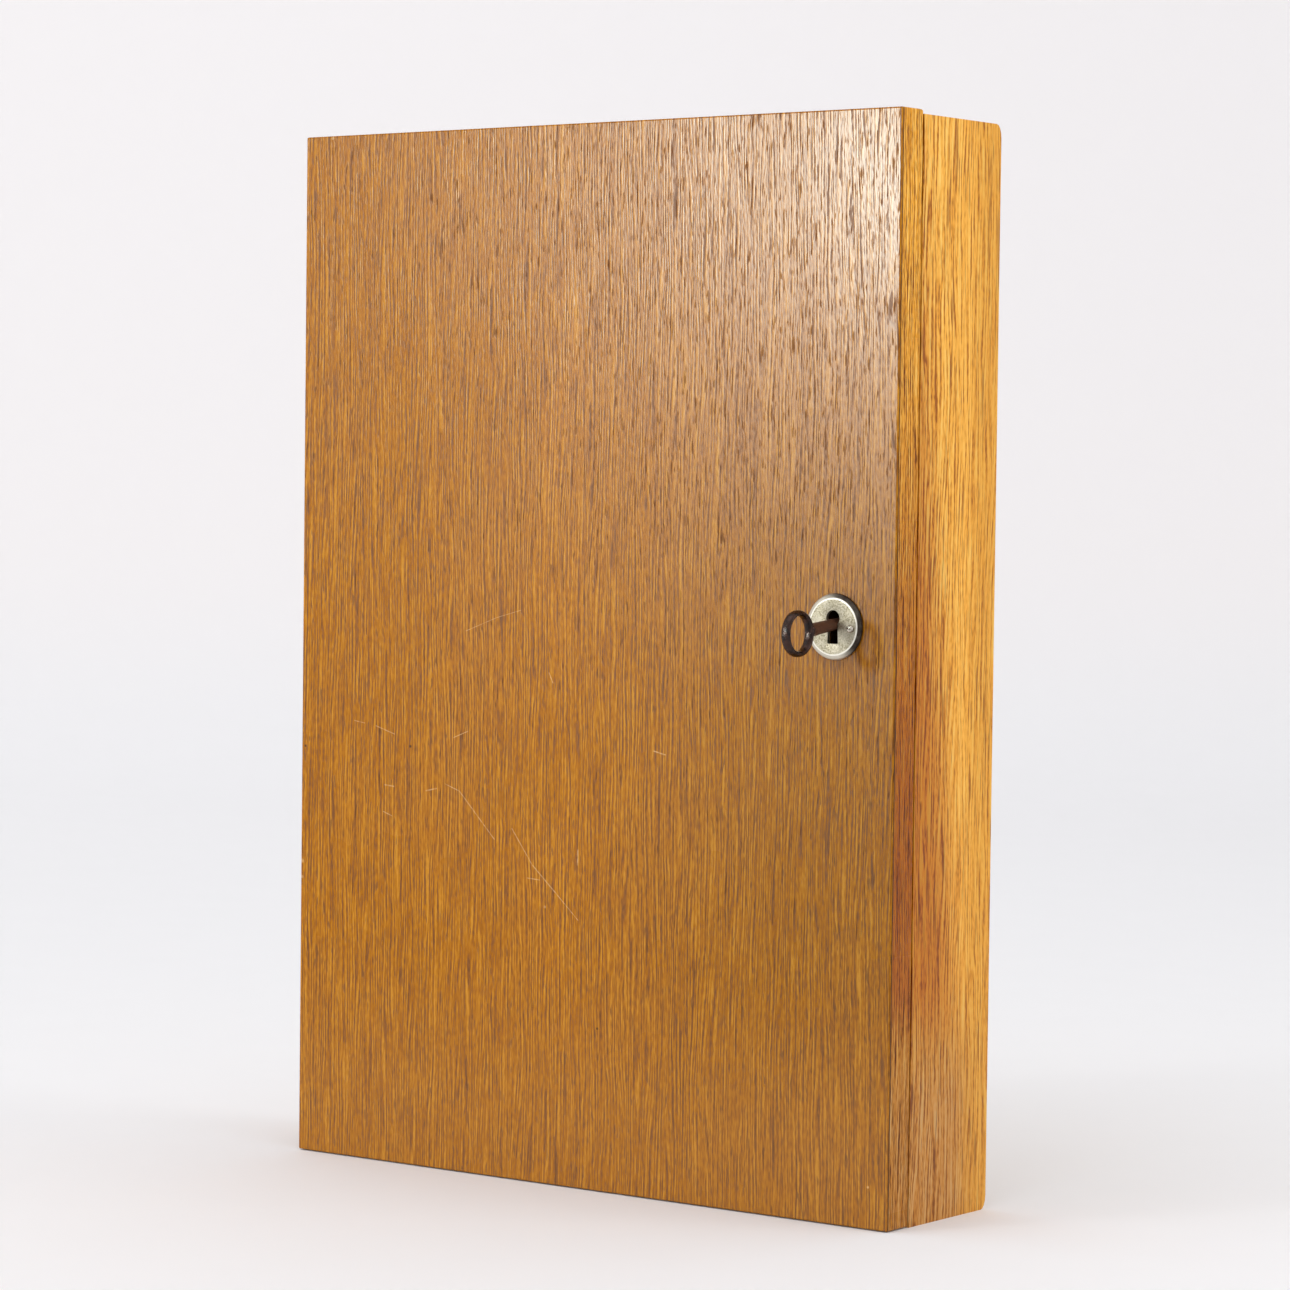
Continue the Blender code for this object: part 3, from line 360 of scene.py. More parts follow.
def door_marks(g, x, y, z, is_front):
    """Masks of the scratches and the dark spots on the front, of the painted shadow below and right of the keyhole
    plate, and of the painted shade inside the keyhole.
    """
    breaks = g.noise(g.vector(g.times(x, 0.5), 0.0, g.times(z, 0.5)), 3.0)
    broken = g.times(is_front, g.scale(breaks, 0.35, 0.6, 0.3, 1.0))
    pale = [line_mark(g, x, z, *mark) for mark in SCRATCHES]
    pale += [spot_mark(g, x, z, *mark) for mark in PALE_SPOTS]
    dark = [spot_mark(g, x, z, *mark) for mark in DARK_SPOTS]
    # painted shadow of the keyhole plate: a soft disc offset to the lower right
    plate_shadow_centre = (PLATE_CENTRE.x * MM + 2.0, PLATE_CENTRE.z * MM - 2.5)
    beside = g.math('ABSOLUTE', g.minus(x, KEY_PIVOT.x * MM))
    above = g.math('ABSOLUTE', g.minus(z, PLATE_CENTRE.z * MM))
    # painted shade on the walls of the keyhole cut through the door
    hole = g.times(g.math('LESS_THAN', beside, KEYHOLE_CUT[0]), g.math('LESS_THAN', above, KEYHOLE_CUT[1]))
    return {"scratch": g.times(strongest(g, pale), broken),
            "dark": g.times(strongest(g, dark), is_front),
            "plate_shadow": g.times(spot_mark(g, x, z, plate_shadow_centre, PLATE_SHADOW_RADIUS), is_front),
            "hole": g.times(hole, g.math('GREATER_THAN', y, DOOR_LOW.y * MM + VENEER))}


def door_material():
    """Lacquered oak veneer front and rear, with a solid lipping round the edges."""
    g = Graph("door_oak_veneer")
    x, y, z = g.position()
    front_line = DOOR_LOW.y * MM + VENEER
    is_front = g.math('LESS_THAN', y, front_line)
    is_veneer = g.either(is_front, g.math('GREATER_THAN', y, DOOR_HIGH.y * MM - VENEER))
    on_end = g.math('GREATER_THAN', g.math('ABSOLUTE', x), DOOR_HIGH.x * MM - LIPPING)
    runs_up = g.either(is_veneer, on_end)

    across = g.blend(is_veneer, g.times(y, 1.2), x)
    depth = g.blend(runs_up, g.times(z, 1.7), g.times(g.math('SIGN', x), 40.0))
    along = g.blend(runs_up, x, z)
    pattern = wood_pattern(g, across, depth, along, FACE_GRAIN)
    colour = g.mix(is_veneer, door_edge_colour(g, y, z, pattern, front_line),
                   door_face_colour(g, x, z, pattern))

    marks = door_marks(g, x, y, z, is_front)
    # painted shadow of the keyhole plate on the veneer
    colour = tinted(g, colour, marks["plate_shadow"], 0.66, 0.60, 0.55)
    colour = g.mix(g.times(marks["scratch"], 0.55), colour, srgb(238, 196, 134))
    colour = g.mix(g.times(marks["dark"], 0.8), colour, srgb(46, 26, 12))
    # painted shade: the keyhole's walls made near black
    colour = g.mix(g.times(marks["hole"], 0.95), colour, srgb(22, 12, 8))

    haze = g.noise(g.vector(g.times(x, 1 / 90), 0.0, g.times(z, 1 / 140)), 3.0)
    rough = g.scale(haze, 0.3, 0.7, *DOOR_ROUGHNESS)
    rough = g.plus(rough, g.times(pattern["pores"], 0.30))
    rough = g.plus(rough, g.step(pattern["tone"], 0.42, 0.26, 0.0, 0.16))
    height = g.minus(pattern["height"], g.times(marks["scratch"], 0.8))
    g.set(Base_Color=colour, Roughness=rough, Normal=g.bump(height, 0.03), Specular_IOR_Level=0.15)
    return g.material


SIDE_STOPS = [(0.24, srgb(166, 94, 8)), (0.40, srgb(230, 157, 46)), (0.50, srgb(247, 178, 66)),
              (0.60, srgb(253, 190, 80)), (0.78, srgb(255, 208, 108))]


def outer_side_pattern(g, pattern, y, z, across, depth, along):
    """Grain of an outer side: livelier towards the front, with long dark marks."""
    calm = g.step(g.plus(y, g.times(z, 0.02)), -20.0, 16.0, 1.35, 0.85)
    mark_place = g.vector(g.times(across, 1 / 2.0), g.times(depth, 1 / 2.0), g.times(along, 1 / 34))
    long_marks = g.step(g.noise(mark_place, 1.0), 0.63, 0.72)
    return {"tone": g.plus(0.5, g.times(g.minus(pattern["tone"], 0.5), calm)),
            "pores": g.either(g.times(pattern["pores"], calm), long_marks),
            "height": pattern["height"]}


def outer_side_painted_light(g, colour, y, z):
    """Painted shade towards the lower front, a little duller at the rear, and a greyer painted reflection of the
    floor near the foot.
    """
    floor_reflection_mask = g.step(z, 110.0, 50.0)
    # painted shade: darker towards the lower front, away from the side light that comes from high up
    front = g.step(g.plus(y, g.times(z, 0.12)), 37.0, -3.0)
    colour = tinted(g, colour, g.times(front, g.minus(1.0, floor_reflection_mask)), 0.57, 0.38, 0.14)
    colour = tinted(g, colour, g.step(y, 6.0, 20.0), 0.86, 0.82, 0.70)
    # painted reflection of the floor: greyer and bluer at the foot, most towards the front
    return tinted(g, colour, g.times(floor_reflection_mask, g.step(y, 26.0, 2.0, 0.2, 1.0)), 0.60, 0.54, 0.80)


def board_material(name, across_axis, along_axis, seed, stops=SIDE_STOPS, pore=srgb(140, 76, 14),
                   pore_mix=0.6, outer_side=False):
    """Solid board whose grain runs along one axis; the axes are indices into x, y and z."""
    g = Graph(name)
    places = g.position()
    across = g.plus(places[across_axis], seed)
    along = places[along_axis]
    depth = places[3 - across_axis - along_axis]
    pattern = wood_pattern(g, across, depth, along, BOARD_GRAIN)
    if outer_side:
        pattern = outer_side_pattern(g, pattern, places[1], places[2], across, depth, along)
    colour = wood_colour(g, pattern, stops, pore, pore_mix)
    if outer_side:
        colour = outer_side_painted_light(g, colour, places[1], places[2])
    rough = g.scale(pattern["tone"], 0.3, 0.7, 0.38, 0.50)
    g.set(Base_Color=colour, Roughness=rough, Normal=g.bump(pattern["height"], 0.03),
          Specular_IOR_Level=0.2)
    return g.material


def soften_arrises(obj, width):
    """Round the long outer edges of a board, which lie on two sides of its own box."""
    low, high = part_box(obj.name)
    mesh = obj.data
    weights = mesh.attributes.new("bevel_weight_edge", 'FLOAT', 'EDGE').data
    for edge, weight in zip(mesh.edges, weights):
        a, b = (mesh.vertices[i].co for i in edge.vertices)
        sides = sum(all(abs(point[axis] - bound[axis]) < 1e-5 for point in (a, b))
                    for axis in range(3) for bound in (low, high))
        weight.value = 1.0 if sides >= 2 else 0.0
    bevel = obj.modifiers.new("arris", 'BEVEL')
    bevel.limit_method = 'WEIGHT'
    bevel.width = width
    bevel.segments = 3
    bevel.use_clamp_overlap = False


def set_material(obj, material):
    obj.data.materials.clear()
    obj.data.materials.append(material)


def dress_boards():
    set_material(NODES["door"], door_material())
    for index, name in enumerate(("side_right", "side_left")):
        set_material(NODES[name], board_material(name + "_oak", 1, 2, 61.0 * index, outer_side=True))
    for index, name in enumerate(("top_panel", "bottom_panel")):
        set_material(NODES[name], board_material(name + "_oak", 1, 0, 83.0 + 47.0 * index))
    plywood = [(0.32, srgb(176, 134, 86)), (0.5, srgb(204, 166, 114)), (0.68, srgb(220, 188, 140))]
    set_material(NODES["back_panel"],
                 board_material("back_plywood", 0, 2, 19.0, plywood, srgb(140, 100, 60), 0.4))
    beech = [(0.32, srgb(190, 134, 82)), (0.5, srgb(210, 158, 102)), (0.68, srgb(224, 178, 124))]
    for row in range(1, 5):
        name = f"hook_rail_{row}"
        set_material(NODES[name], board_material(name + "_beech", 2, 0, 31.0 * row, beech,
                                                 srgb(150, 96, 54), 0.35))
    soften_arrises(NODES["door"], DOOR_ARRIS)
    for name in ("side_right", "side_left", "top_panel", "bottom_panel"):
        soften_arrises(NODES[name], BOARD_ARRIS)


# ---------------------------------------------------------------- metals

def metal_material(name, bright, dark, roughness, patch_mm=4.0, metallic=1.0, scuff=0.12):
    """Handled metal: tarnish in broad patches, fine scuffs and a slightly uneven surface."""
    g = Graph(name)
    x, y, z = g.position()
    place = g.vector(x, y, z)
    patches = g.noise(place, 4.0, 0.6, 1 / patch_mm)
    grit = g.noise(place, 2.0, 0.6, 5.0)
    scuffs = g.noise(g.vector(g.times(x, 0.5), g.times(y, 0.5), g.times(z, 5.0)), 3.0, 0.7)
    tarnish = g.step(g.plus(patches, g.times(g.minus(grit, 0.5), 0.3)), 0.42, 0.66)
    rough = g.plus(g.scale(patches, 0.3, 0.7, roughness - 0.06, roughness + 0.10),
                   g.times(g.step(scuffs, 0.52, 0.7), scuff))
    height = g.plus(patches, g.times(grit, 0.15))
    g.set(Base_Color=g.mix(tarnish, bright, dark), Metallic=metallic, Roughness=rough,
          Normal=g.bump(height, 0.06))
    return g.material


METALS = {
    "brass": metal_material("aged_brass", srgb(214, 176, 98), srgb(160, 116, 56), 0.28),
    "nickel": metal_material("tarnished_nickel", srgb(226, 220, 204), srgb(184, 172, 146), 0.34),
    "lock_steel": metal_material("matt_zinc", srgb(176, 174, 168), srgb(128, 122, 112), 0.40),
    "browned_steel": metal_material("browned_steel", srgb(70, 42, 30), srgb(32, 20, 17), 0.26, 3.0,
                                    0.6, 0.2),
}


def key_material():
    """Browned cast key: dark glossy bow, rustier shank with a rough skin."""
    g = Graph("browned_key")
    x, y, z = g.position()
    place = g.vector(x, y, z)
    patches = g.noise(place, 4.0, 0.6, 0.35)
    grit = g.noise(place, 3.0, 0.7, 2.6)
    dark = g.mix(g.step(patches, 0.40, 0.62), srgb(58, 36, 28), srgb(28, 18, 15))
    rust = g.mix(g.step(grit, 0.40, 0.60), srgb(116, 74, 50), srgb(50, 30, 22))
    on_shank = g.step(z, (BOW_CENTRE + BOW_RADIUS) * MM - 1.0, (BOW_CENTRE + BOW_RADIUS) * MM + 3.0)
    rough = g.blend(on_shank, g.scale(grit, 0.35, 0.65, 0.12, 0.26),
                    g.scale(grit, 0.35, 0.65, 0.42, 0.60))
    g.set(Base_Color=g.mix(on_shank, dark, rust), Metallic=0.55, Roughness=rough,
          Normal=g.bump(g.plus(grit, patches), 0.10))
    return g.material


PIN_STEEL = metal_material("pin_steel", srgb(206, 200, 186), srgb(112, 100, 86), 0.14, 1.2, 1.0, 0.04)


def plate_material():
    """Cast nickel keyhole plate: speckled face, bright edge round it, and painted shade and dark reflection on the
    rim's right side.
    """
    g = Graph("keyhole_plate_nickel")
    x, y, z = g.position()
    radius = g.math('SQRT', g.plus(g.times(x, x), g.times(y, y)))
    place = g.vector(x, y, z)
    speckle = g.noise(place, 3.0, 0.7, 1.6)
    cloud = g.noise(place, 3.0, 0.6, 0.22)
    face = g.mix(g.step(speckle, 0.44, 0.60), srgb(190, 184, 160), srgb(132, 126, 102))
    face = g.mix(g.times(g.step(cloud, 0.45, 0.65), 0.5), face, srgb(206, 201, 182))
    edge = PLATE_FACE_RADIUS * MM
    near_edge = g.step(g.math('ABSOLUTE', g.minus(radius, edge - 0.35)), 0.55, 0.2)
    face = g.mix(g.times(near_edge, 0.85), face, srgb(246, 244, 232))
    # painted shade and dark reflection: the rim goes near black towards the right, away from the light
    toward = g.math('DIVIDE', g.plus(g.times(x, 0.94), g.times(y, 0.34)), g.plus(radius, 0.1))
    painted_rim_shade = g.step(toward, -0.15, 0.55)
    rim = g.mix(g.plus(g.times(painted_rim_shade, 0.95), g.times(g.minus(cloud, 0.5), 0.3)),
                srgb(206, 200, 184), srgb(50, 42, 36))
    colour = g.mix(g.step(radius, edge - 0.05, edge + 0.15), face, rim)
    rough = g.plus(g.scale(speckle, 0.35, 0.65, 0.40, 0.52), g.times(near_edge, -0.12))
    g.set(Base_Color=colour, Metallic=0.9, Roughness=rough, Normal=g.bump(speckle, 0.05))
    return g.material


def dress_metals():
    for node, slot in SLOT_OF.items():
        if slot in METALS:
            set_material(NODES[node], METALS[slot])


# ---------------------------------------------------------------- mesh helpers

def new_object(name, mesh, smooth=True):
    obj = bpy.data.objects.new(name, mesh)
    bpy.context.scene.collection.objects.link(obj)
    if smooth:
        mesh.shade_smooth()
        mesh.set_sharp_from_angle(angle=math.radians(35))
    return obj


def mesh_of(name, bm):
    mesh = bpy.data.meshes.new(name)
    bmesh.ops.recalc_face_normals(bm, faces=bm.faces)
    bm.to_mesh(mesh)
    bm.free()
    return mesh


def turned_mesh(name, profile, segments):
    """A closed solid of revolution about Z from (radius, height) points, first and last on the axis."""
    bm = bmesh.new()
    points = [bm.verts.new((radius, 0.0, height)) for radius, height in profile]
    edges = [bm.edges.new(pair) for pair in zip(points, points[1:])]
    bmesh.ops.spin(bm, geom=points + edges, cent=(0, 0, 0), axis=(0, 0, 1), angle=2 * math.pi,
                   steps=segments)
    bmesh.ops.remove_doubles(bm, verts=bm.verts, dist=1e-6)
    return mesh_of(name, bm)


def arc(centre, radius_x, radius_y, start, end, steps):
    """Points on an elliptical arc, angles in degrees."""
    angles = [math.radians(start + (end - start) * i / steps) for i in range(steps + 1)]
    return [(centre[0] + radius_x * math.cos(a), centre[1] + radius_y * math.sin(a)) for a in angles]


def prism_mesh(name, outline, low, high):
    """A flat outline in X and Y, raised along Z from low to high."""
    bm = bmesh.new()
    face = bm.faces.new([bm.verts.new((x, y, low)) for x, y in outline])
    raised = bmesh.ops.extrude_face_region(bm, geom=[face])
    verts = [item for item in raised["geom"] if isinstance(item, bmesh.types.BMVert)]
    bmesh.ops.translate(bm, verts=verts, vec=(0, 0, high - low))
    return mesh_of(name, bm)


def box_mesh(name, low, high):
    outline = [(low[0], low[1]), (high[0], low[1]), (high[0], high[1]), (low[0], high[1])]
    return prism_mesh(name, outline, low[2], high[2])


def frame_at(place, out, up_hint=Vector((0, 0, 1))):
    """Matrix that puts local Z along out, with local Y as near up_hint as it can be."""
    z = Vector(out).normalized()
    x = up_hint.cross(z)
    x = Vector((1, 0, 0)) if x.length < 1e-6 else x.normalized()
    y = z.cross(x)
    return Matrix.Translation(Vector(place)) @ Matrix((x, y, z)).transposed().to_4x4()


def boolean(target, mesh, operation, matrix):
    """Apply a boolean with a helper mesh, and leave no helper behind."""
    tool = bpy.data.objects.new("tool", mesh)
    bpy.context.scene.collection.objects.link(tool)
    tool.matrix_world = matrix
    modifier = target.modifiers.new("boolean", 'BOOLEAN')
    modifier.operation = operation
    modifier.object = tool
    apply_modifiers(target)
    bpy.data.objects.remove(tool, do_unlink=True)


def apply_modifiers(obj):
    bpy.context.view_layer.update()
    evaluated = obj.evaluated_get(bpy.context.evaluated_depsgraph_get())
    mesh = bpy.data.meshes.new_from_object(evaluated)
    obj.modifiers.clear()
    obj.data = mesh


def round_edges(obj, width, degrees=35.0, segments=2):
    bevel = obj.modifiers.new("rounding", 'BEVEL')
    bevel.width = width
    bevel.segments = segments
    bevel.limit_method = 'ANGLE'
    bevel.angle_limit = math.radians(degrees)


def stand_for(obj, node, material=None):
    """Finish a piece that replaces a CAD node: its material, by default the metal of the node's slot, the CAD node
    hidden, and the node's body to move with.
    """
    set_material(obj, material or METALS[SLOT_OF[node]])
    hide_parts(node)
    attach(obj, BODY_OF[node])


# ---------------------------------------------------------------- keyhole plate and pins

def keyhole_outline():
    junction = math.degrees(math.acos(KEYHOLE_HALF_TOP / KEYHOLE_RADIUS))
    corner = 0.0005
    points = arc((0, 0), KEYHOLE_RADIUS, KEYHOLE_RADIUS, -junction, 180 + junction, 40)
    points += arc((-KEYHOLE_HALF_FOOT + corner, -KEYHOLE_DROP + corner), corner, corner, 180, 270, 5)
    points += arc((KEYHOLE_HALF_FOOT - corner, -KEYHOLE_DROP + corner), corner, corner, 270, 360, 5)
    return points


def make_keyhole_plate():
    """A turned plate: dished rim, crisp edge round the flat face, and the keyhole cut through."""
    base = PLATE_HIGH.y
    rim = PLATE_RADIUS - PLATE_FACE_RADIUS
    profile = [(0.0, PLATE_THICKNESS), (PLATE_FACE_RADIUS - 0.0005, PLATE_THICKNESS),
               (PLATE_FACE_RADIUS - 0.0002, PLATE_THICKNESS - 0.00003),
               (PLATE_FACE_RADIUS, PLATE_THICKNESS - 0.00015)]
    profile += [(PLATE_FACE_RADIUS + x, y) for x, y in
                arc((0.0, 0.0004), rim - 0.0001, PLATE_THICKNESS - 0.0006, 75, 0, 10)]
    profile += [(PLATE_RADIUS, 0.0002), (PLATE_RADIUS - 0.0001, 0.0), (0.0, 0.0)]
    plate = new_object("keyhole_plate", turned_mesh("keyhole_plate", profile, 128))
    plate.matrix_world = frame_at((PLATE_CENTRE.x, base, PLATE_CENTRE.z), (0, -1, 0))
    cutter = prism_mesh("keyhole_cutter", keyhole_outline(), -0.01, 0.01)
    boolean(plate, cutter, 'DIFFERENCE', frame_at((KEY_PIVOT.x, base, KEY_PIVOT.z), (0, -1, 0)))
    round_edges(plate, 0.00012, 50.0)
    stand_for(plate, "escutcheon", plate_material())


def make_plate_pin(node):
    low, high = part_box(node)
    middle = (low + high) / 2
    length = high.y - low.y
    dome = [(radius, height) for height, radius in arc((0, 0), PIN_DOME, PIN_RADIUS, 0, 90, 10)]
    profile = dome + [(0.0007, 0.0), (0.0007, PIN_DOME - length + 0.0012), (0.0, PIN_DOME - length)]
    pin = new_object("fine_" + node, turned_mesh(node, profile, 36))
    pin.matrix_world = frame_at((middle.x, low.y + PIN_DOME, middle.z), (0, -1, 0))
    stand_for(pin, node, PIN_STEEL)
    return pin


# ---------------------------------------------------------------- key

def make_key():
    """Cast key: ring bow of oval section, thickened shank end and a warded bit, softly blended."""
    along = frame_at(KEY_PIVOT, KEY_AXIS)           # local Z runs inwards, local Y is up
    shank_end = BOW_CENTRE + BOW_RADIUS - 0.0004
    profile = [(0.0, KEY_TIP), (SHANK_RADIUS * 0.5, KEY_TIP), (SHANK_RADIUS * 0.9, KEY_TIP - 0.0005),
               (SHANK_RADIUS, KEY_TIP - 0.0014), (SHANK_RADIUS, -0.0200),
               (SHANK_OUTER_RADIUS, -0.0245), (SHANK_BOW_RADIUS, shank_end + 0.0034),
               (SHANK_BOW_RADIUS, shank_end + 0.0008), (SHANK_BOW_RADIUS * 0.8, shank_end),
               (0.0, shank_end)]
    key = new_object("fine_key", turned_mesh("key", profile, 48))
    key.matrix_world = along
    bit_low = (-BIT_THICKNESS / 2, -BIT_REACH, BIT_START)
    bit_high = (BIT_THICKNESS / 2, -SHANK_RADIUS * 0.4, BIT_END)
    boolean(key, box_mesh("bit", bit_low, bit_high), 'UNION', along)
    boolean(key, bow_mesh(), 'UNION', along @ Matrix.Translation((0, 0, BOW_CENTRE)))
    boolean(key, box_mesh("ward_slit", *WARD_SLIT), 'DIFFERENCE', along)
    boolean(key, box_mesh("ward_step", *WARD_STEP), 'DIFFERENCE', along)
    remesh = key.modifiers.new("remesh", 'REMESH')
    remesh.mode = 'VOXEL'
    remesh.voxel_size = KEY_VOXEL
    soften = key.modifiers.new("soften", 'SMOOTH')
    soften.factor = 0.5
    soften.iterations = 4
    apply_modifiers(key)
    key.data.shade_smooth()
    stand_for(key, "key", key_material())
    return key


def bow_mesh():
    """The ring in the plane of local Y and Z, its section wider along local X."""
    bm = bmesh.new()
    around, section = 96, 24
    rings = []
    for i in range(around):
        a = 2 * math.pi * i / around
        ring = []
        for j in range(section):
            b = 2 * math.pi * j / section
            radius = BOW_RADIUS + BOW_SECTION * math.cos(b)
            ring.append(bm.verts.new((BOW_SECTION * BOW_STRETCH * math.sin(b), radius * math.sin(a),
                                      radius * math.cos(a))))
        rings.append(ring)
    for i in range(around):
        for j in range(section):
            a, b = rings[i], rings[(i + 1) % around]
            k = (j + 1) % section
            bm.faces.new((a[j], a[k], b[k], b[j]))
    return mesh_of("bow", bm)


# ---------------------------------------------------------------- hooks and screws

def hook_mesh():
    """L-shaped screw hook with local Y into the rail from its face at 0, and Z up."""
    path = [(HOOK_THREAD, 0.0, 0.3), (HOOK_THREAD - 0.0018, 0.0, 0.85), (0.0, 0.0, 0.85),
            (-0.0003, 0.0, 0.9), (-0.0003, 0.0, HOOK_COLLAR / HOOK_WIRE * 0.93),
            (-0.0006, 0.0, HOOK_COLLAR / HOOK_WIRE), (-0.0010, 0.0, HOOK_COLLAR / HOOK_WIRE * 0.8),
            (-0.0012, 0.0, 1.1), (-0.0030, 0.0, 1.0), (-0.0060, 0.0, 1.0)]
    elbow = arc((-HOOK_REACH + HOOK_ELBOW, HOOK_ELBOW), HOOK_ELBOW, HOOK_ELBOW, 270, 180, 10)
    path += [(y, rise, 1.0) for y, rise in elbow]
    path += [(-HOOK_REACH, HOOK_RISE - 0.0013, 1.0), (-HOOK_REACH, HOOK_RISE - 0.0007, 0.87),
             (-HOOK_REACH, HOOK_RISE - 0.0002, 0.55), (-HOOK_REACH, HOOK_RISE, 0.1)]
    bm = bmesh.new()
    rings = []
    for i, (y, z, radius) in enumerate(path):
        before, after = path[max(i - 1, 0)], path[min(i + 1, len(path) - 1)]
        run = Vector((0.0, after[0] - before[0], after[1] - before[1]))
        run = run.normalized() if run.length > 1e-9 else Vector((0, -1, 0))
        side = Vector((1, 0, 0))
        up = run.cross(side)
        ring = []
        for j in range(HOOK_SIDES):
            a = 2 * math.pi * j / HOOK_SIDES
            ring.append(bm.verts.new(Vector((0.0, y, z)) + (side * math.cos(a) + up * math.sin(a))
                                     * radius * HOOK_WIRE))
        rings.append(ring)
    for a, b in zip(rings, rings[1:]):
        for j in range(HOOK_SIDES):
            k = (j + 1) % HOOK_SIDES
            bm.faces.new((a[j], a[k], b[k], b[j]))
    bm.faces.new(rings[0])
    bm.faces.new(rings[-1])
    return mesh_of("hook", bm)


def make_hooks():
    mesh = hook_mesh()
    for node in sorted(name for name in NODES if name.startswith("hook_") and "rail" not in name):
        low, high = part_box(node)
        hook = new_object("fine_" + node, mesh.copy())
        base = high.z - HOOK_RISE
        hook.location = ((low.x + high.x) / 2, RAIL_FRONT, base)
        stand_for(hook, node)


def make_screw(node, axis, sign, domed):
    """A slotted screw where the CAD one sits; sign is the way its shank points along the axis."""
    low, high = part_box(node)
    middle = (low + high) / 2
    out = Vector([0.0, 0.0, 0.0])
    out[axis] = -sign
    face = Vector(middle)
    face[axis] = low[axis] if sign > 0 else high[axis]
    length = high[axis] - low[axis]
    across = [i for i in range(3) if i != axis]
    head = max(high[i] - low[i] for i in across) / 2
    shank = head * 0.45
    if domed:
        dome = arc((0, 0), SCREW_DOME, head, 0, 90, 8)
        profile = [(radius, height - SCREW_DOME) for height, radius in dome] + [(shank, -SCREW_DOME)]
    else:
        profile = [(0.0, 0.0), (head - 0.0001, 0.0), (head, -0.0001), (head, -0.0002), (shank, -0.0014)]
    profile += [(shank, -length * 0.8), (0.0, -length)]
    screw = new_object("fine_" + node, turned_mesh(node, profile, 32))
    screw.matrix_world = frame_at(face, out)
    angle = math.radians(37 * (sum(map(ord, node)) % 9) + 11)       # each slot stands its own way
    boolean(screw, box_mesh("slot", *SCREW_SLOT), 'DIFFERENCE',
            frame_at(face, out) @ Matrix.Rotation(angle, 4, 'Z'))
    stand_for(screw, node)


def make_screws():
    for node in sorted(NODES):
        if node.startswith("lock_screw"):
            make_screw(node, 1, -1, True)
        elif node.startswith("strike_screw"):
            make_screw(node, 0, 1, False)
        elif "_frame_leaf_screw" in node:
            make_screw(node, 1, 1, False)
        elif "_door_leaf_screw" in node:
            make_screw(node, 1, -1, False)


# ---------------------------------------------------------------- camera, light and stage

CAMERA_PLACE = Vector((1.18734, -1.58505, 0.33616))
CAMERA_YAW = math.radians(36.859)
CAMERA_PITCH = math.radians(2.3355)
CAMERA_ROLL = math.radians(0.6744)
CAMERA_LENS = 115.63
SENSOR = 36.0


def make_camera():
    back = Vector((math.sin(CAMERA_YAW) * math.cos(CAMERA_PITCH),
                   -math.cos(CAMERA_YAW) * math.cos(CAMERA_PITCH), math.sin(CAMERA_PITCH)))
    right = Vector((math.cos(CAMERA_YAW), math.sin(CAMERA_YAW), 0.0))
    up = back.cross(right)
    turned_right = right * math.cos(CAMERA_ROLL) + up * math.sin(CAMERA_ROLL)
    turned_up = up * math.cos(CAMERA_ROLL) - right * math.sin(CAMERA_ROLL)
    camera = bpy.data.objects.new("camera", bpy.data.cameras.new("camera"))
    camera.data.lens = CAMERA_LENS
    camera.data.sensor_width = SENSOR
    camera.matrix_world = Matrix.Translation(CAMERA_PLACE) @ Matrix(
        (turned_right, turned_up, back)).transposed().to_4x4()
    bpy.context.scene.collection.objects.link(camera)
    bpy.context.scene.camera = camera


# name: (place, target, (width, height), watts, colour)
LIGHTS = {
    "softbox_front": ((-1.14, -2.30, 0.74), (0.16, -0.05, 0.43), (0.36, 0.36), 11.0, (1.0, 0.99, 0.97)),
    "softbox_side": ((2.30, 0.60, 1.30), (0.17, 0.0, 0.35), (1.2, 1.2), 10.0, (1.0, 0.99, 0.97)),
    "overhead": ((-0.1, -0.9, 2.6), (0.0, -0.4, 0.0), (2.2, 2.2), 15.0, (1.0, 1.0, 1.0)),
    "backdrop_wash": ((-1.6, 1.1, 2.3), (-2.5, 2.2, 1.3), (1.2, 1.2), 5.0, (1.0, 1.0, 1.0)),
}
WORLD_LEVEL = 0.75
GLARE_WATTS = 80.0                # seen only as gloss on the door, the key and the pins
GLARE_COLOUR = (0.80, 1.0, 0.97)


def make_light(name, place, target, size, power, colour):
    light = bpy.data.lights.new(name, 'AREA')
    light.shape = 'RECTANGLE'
    light.size, light.size_y = size
    light.energy = power
    light.color = colour
    obj = bpy.data.objects.new(name, light)
    obj.location = place
    obj.rotation_euler = (Vector(target) - Vector(place)).to_track_quat('-Z', 'Y').to_euler()
    obj.visible_camera = False
    bpy.context.scene.collection.objects.link(obj)
    return obj


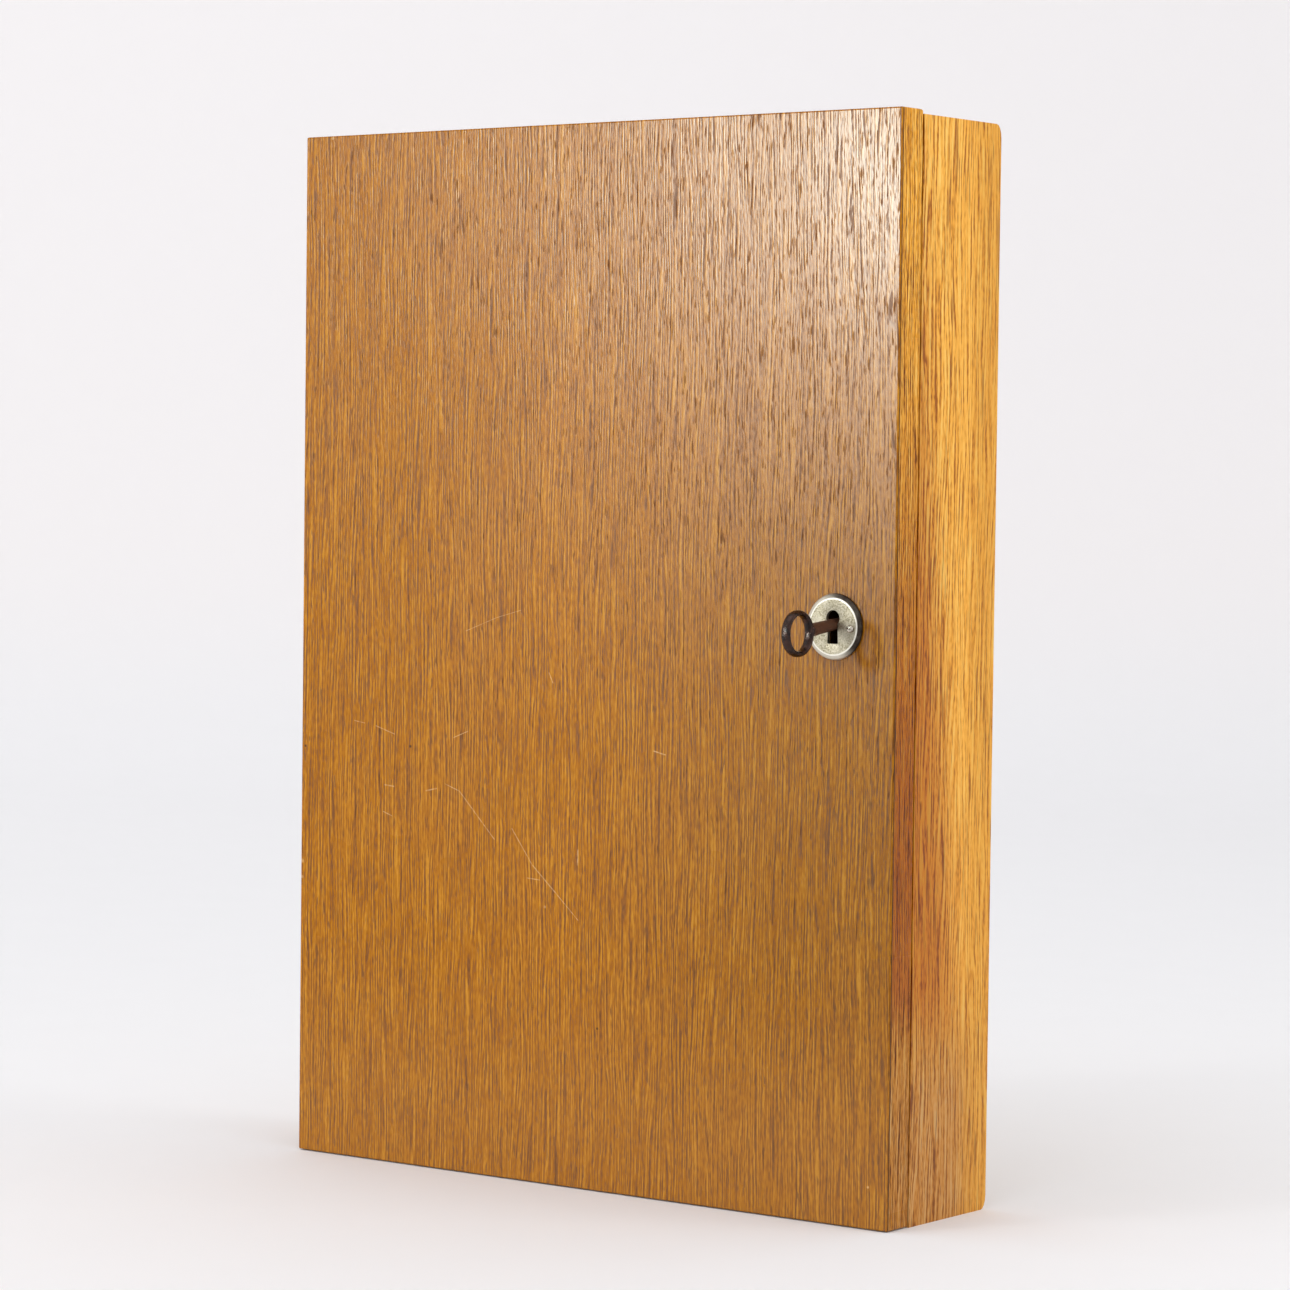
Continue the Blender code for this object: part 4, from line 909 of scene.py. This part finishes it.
def make_lights(shiny_pieces):
    for name, settings in LIGHTS.items():
        make_light(name, *settings)
    place, target, size = LIGHTS["softbox_front"][:3]
    glare = make_light("softbox_front_glare", place, target, size, GLARE_WATTS, GLARE_COLOUR)
    glare.visible_diffuse = False
    glossy = bpy.data.collections.new("glossy_pieces")
    for obj in [NODES["door"]] + shiny_pieces:
        glossy.objects.link(obj)
    glare.light_linking.receiver_collection = glossy
    world = bpy.data.worlds.new("studio")
    world.use_nodes = True
    background = world.node_tree.nodes["Background"]
    background.inputs["Color"].default_value = (1.0, 0.985, 0.99, 1.0)
    background.inputs["Strength"].default_value = WORLD_LEVEL
    bpy.context.scene.world = world
    bpy.context.scene.view_settings.view_transform = 'Standard'


def make_stage():
    """A pale round floor that sweeps up into a wall behind every view."""
    radius, sweep, wall = 3.4, 1.2, 2.4
    profile = [(0.0, 0.0), (radius - sweep, 0.0)]
    profile += arc((radius - sweep, sweep), sweep, sweep, -90, 0, 14)[1:]
    profile.append((radius, wall))
    bm = bmesh.new()
    points = [bm.verts.new((r, 0.0, h)) for r, h in profile]
    edges = [bm.edges.new(pair) for pair in zip(points, points[1:])]
    bmesh.ops.spin(bm, geom=points + edges, cent=(0, 0, 0), axis=(0, 0, 1), angle=2 * math.pi, steps=96)
    bmesh.ops.remove_doubles(bm, verts=bm.verts, dist=1e-5)
    floor = new_object("studio_floor", mesh_of("studio_floor", bm))
    floor.data.shade_smooth()
    g = Graph("studio_paper")
    x, y, z = g.position()
    speck = g.noise(g.vector(x, y, z), 3.0, 0.5, 0.02)
    paper = g.mix(speck, (0.900, 0.910, 0.928, 1.0), (0.912, 0.922, 0.940, 1.0))
    paper = g.mix(g.step(z, 20.0, 260.0), paper, (0.930, 0.918, 0.924, 1.0))
    g.set(Base_Color=paper, Roughness=0.9, Specular_IOR_Level=0.2)
    floor.data.materials.append(g.material)


make_camera()
make_stage()
dress_boards()
dress_metals()
make_keyhole_plate()
plate_pins = [make_plate_pin("escutcheon_pin_" + side) for side in ("left", "right")]
make_lights(plate_pins + [make_key()])
make_hooks()
make_screws()
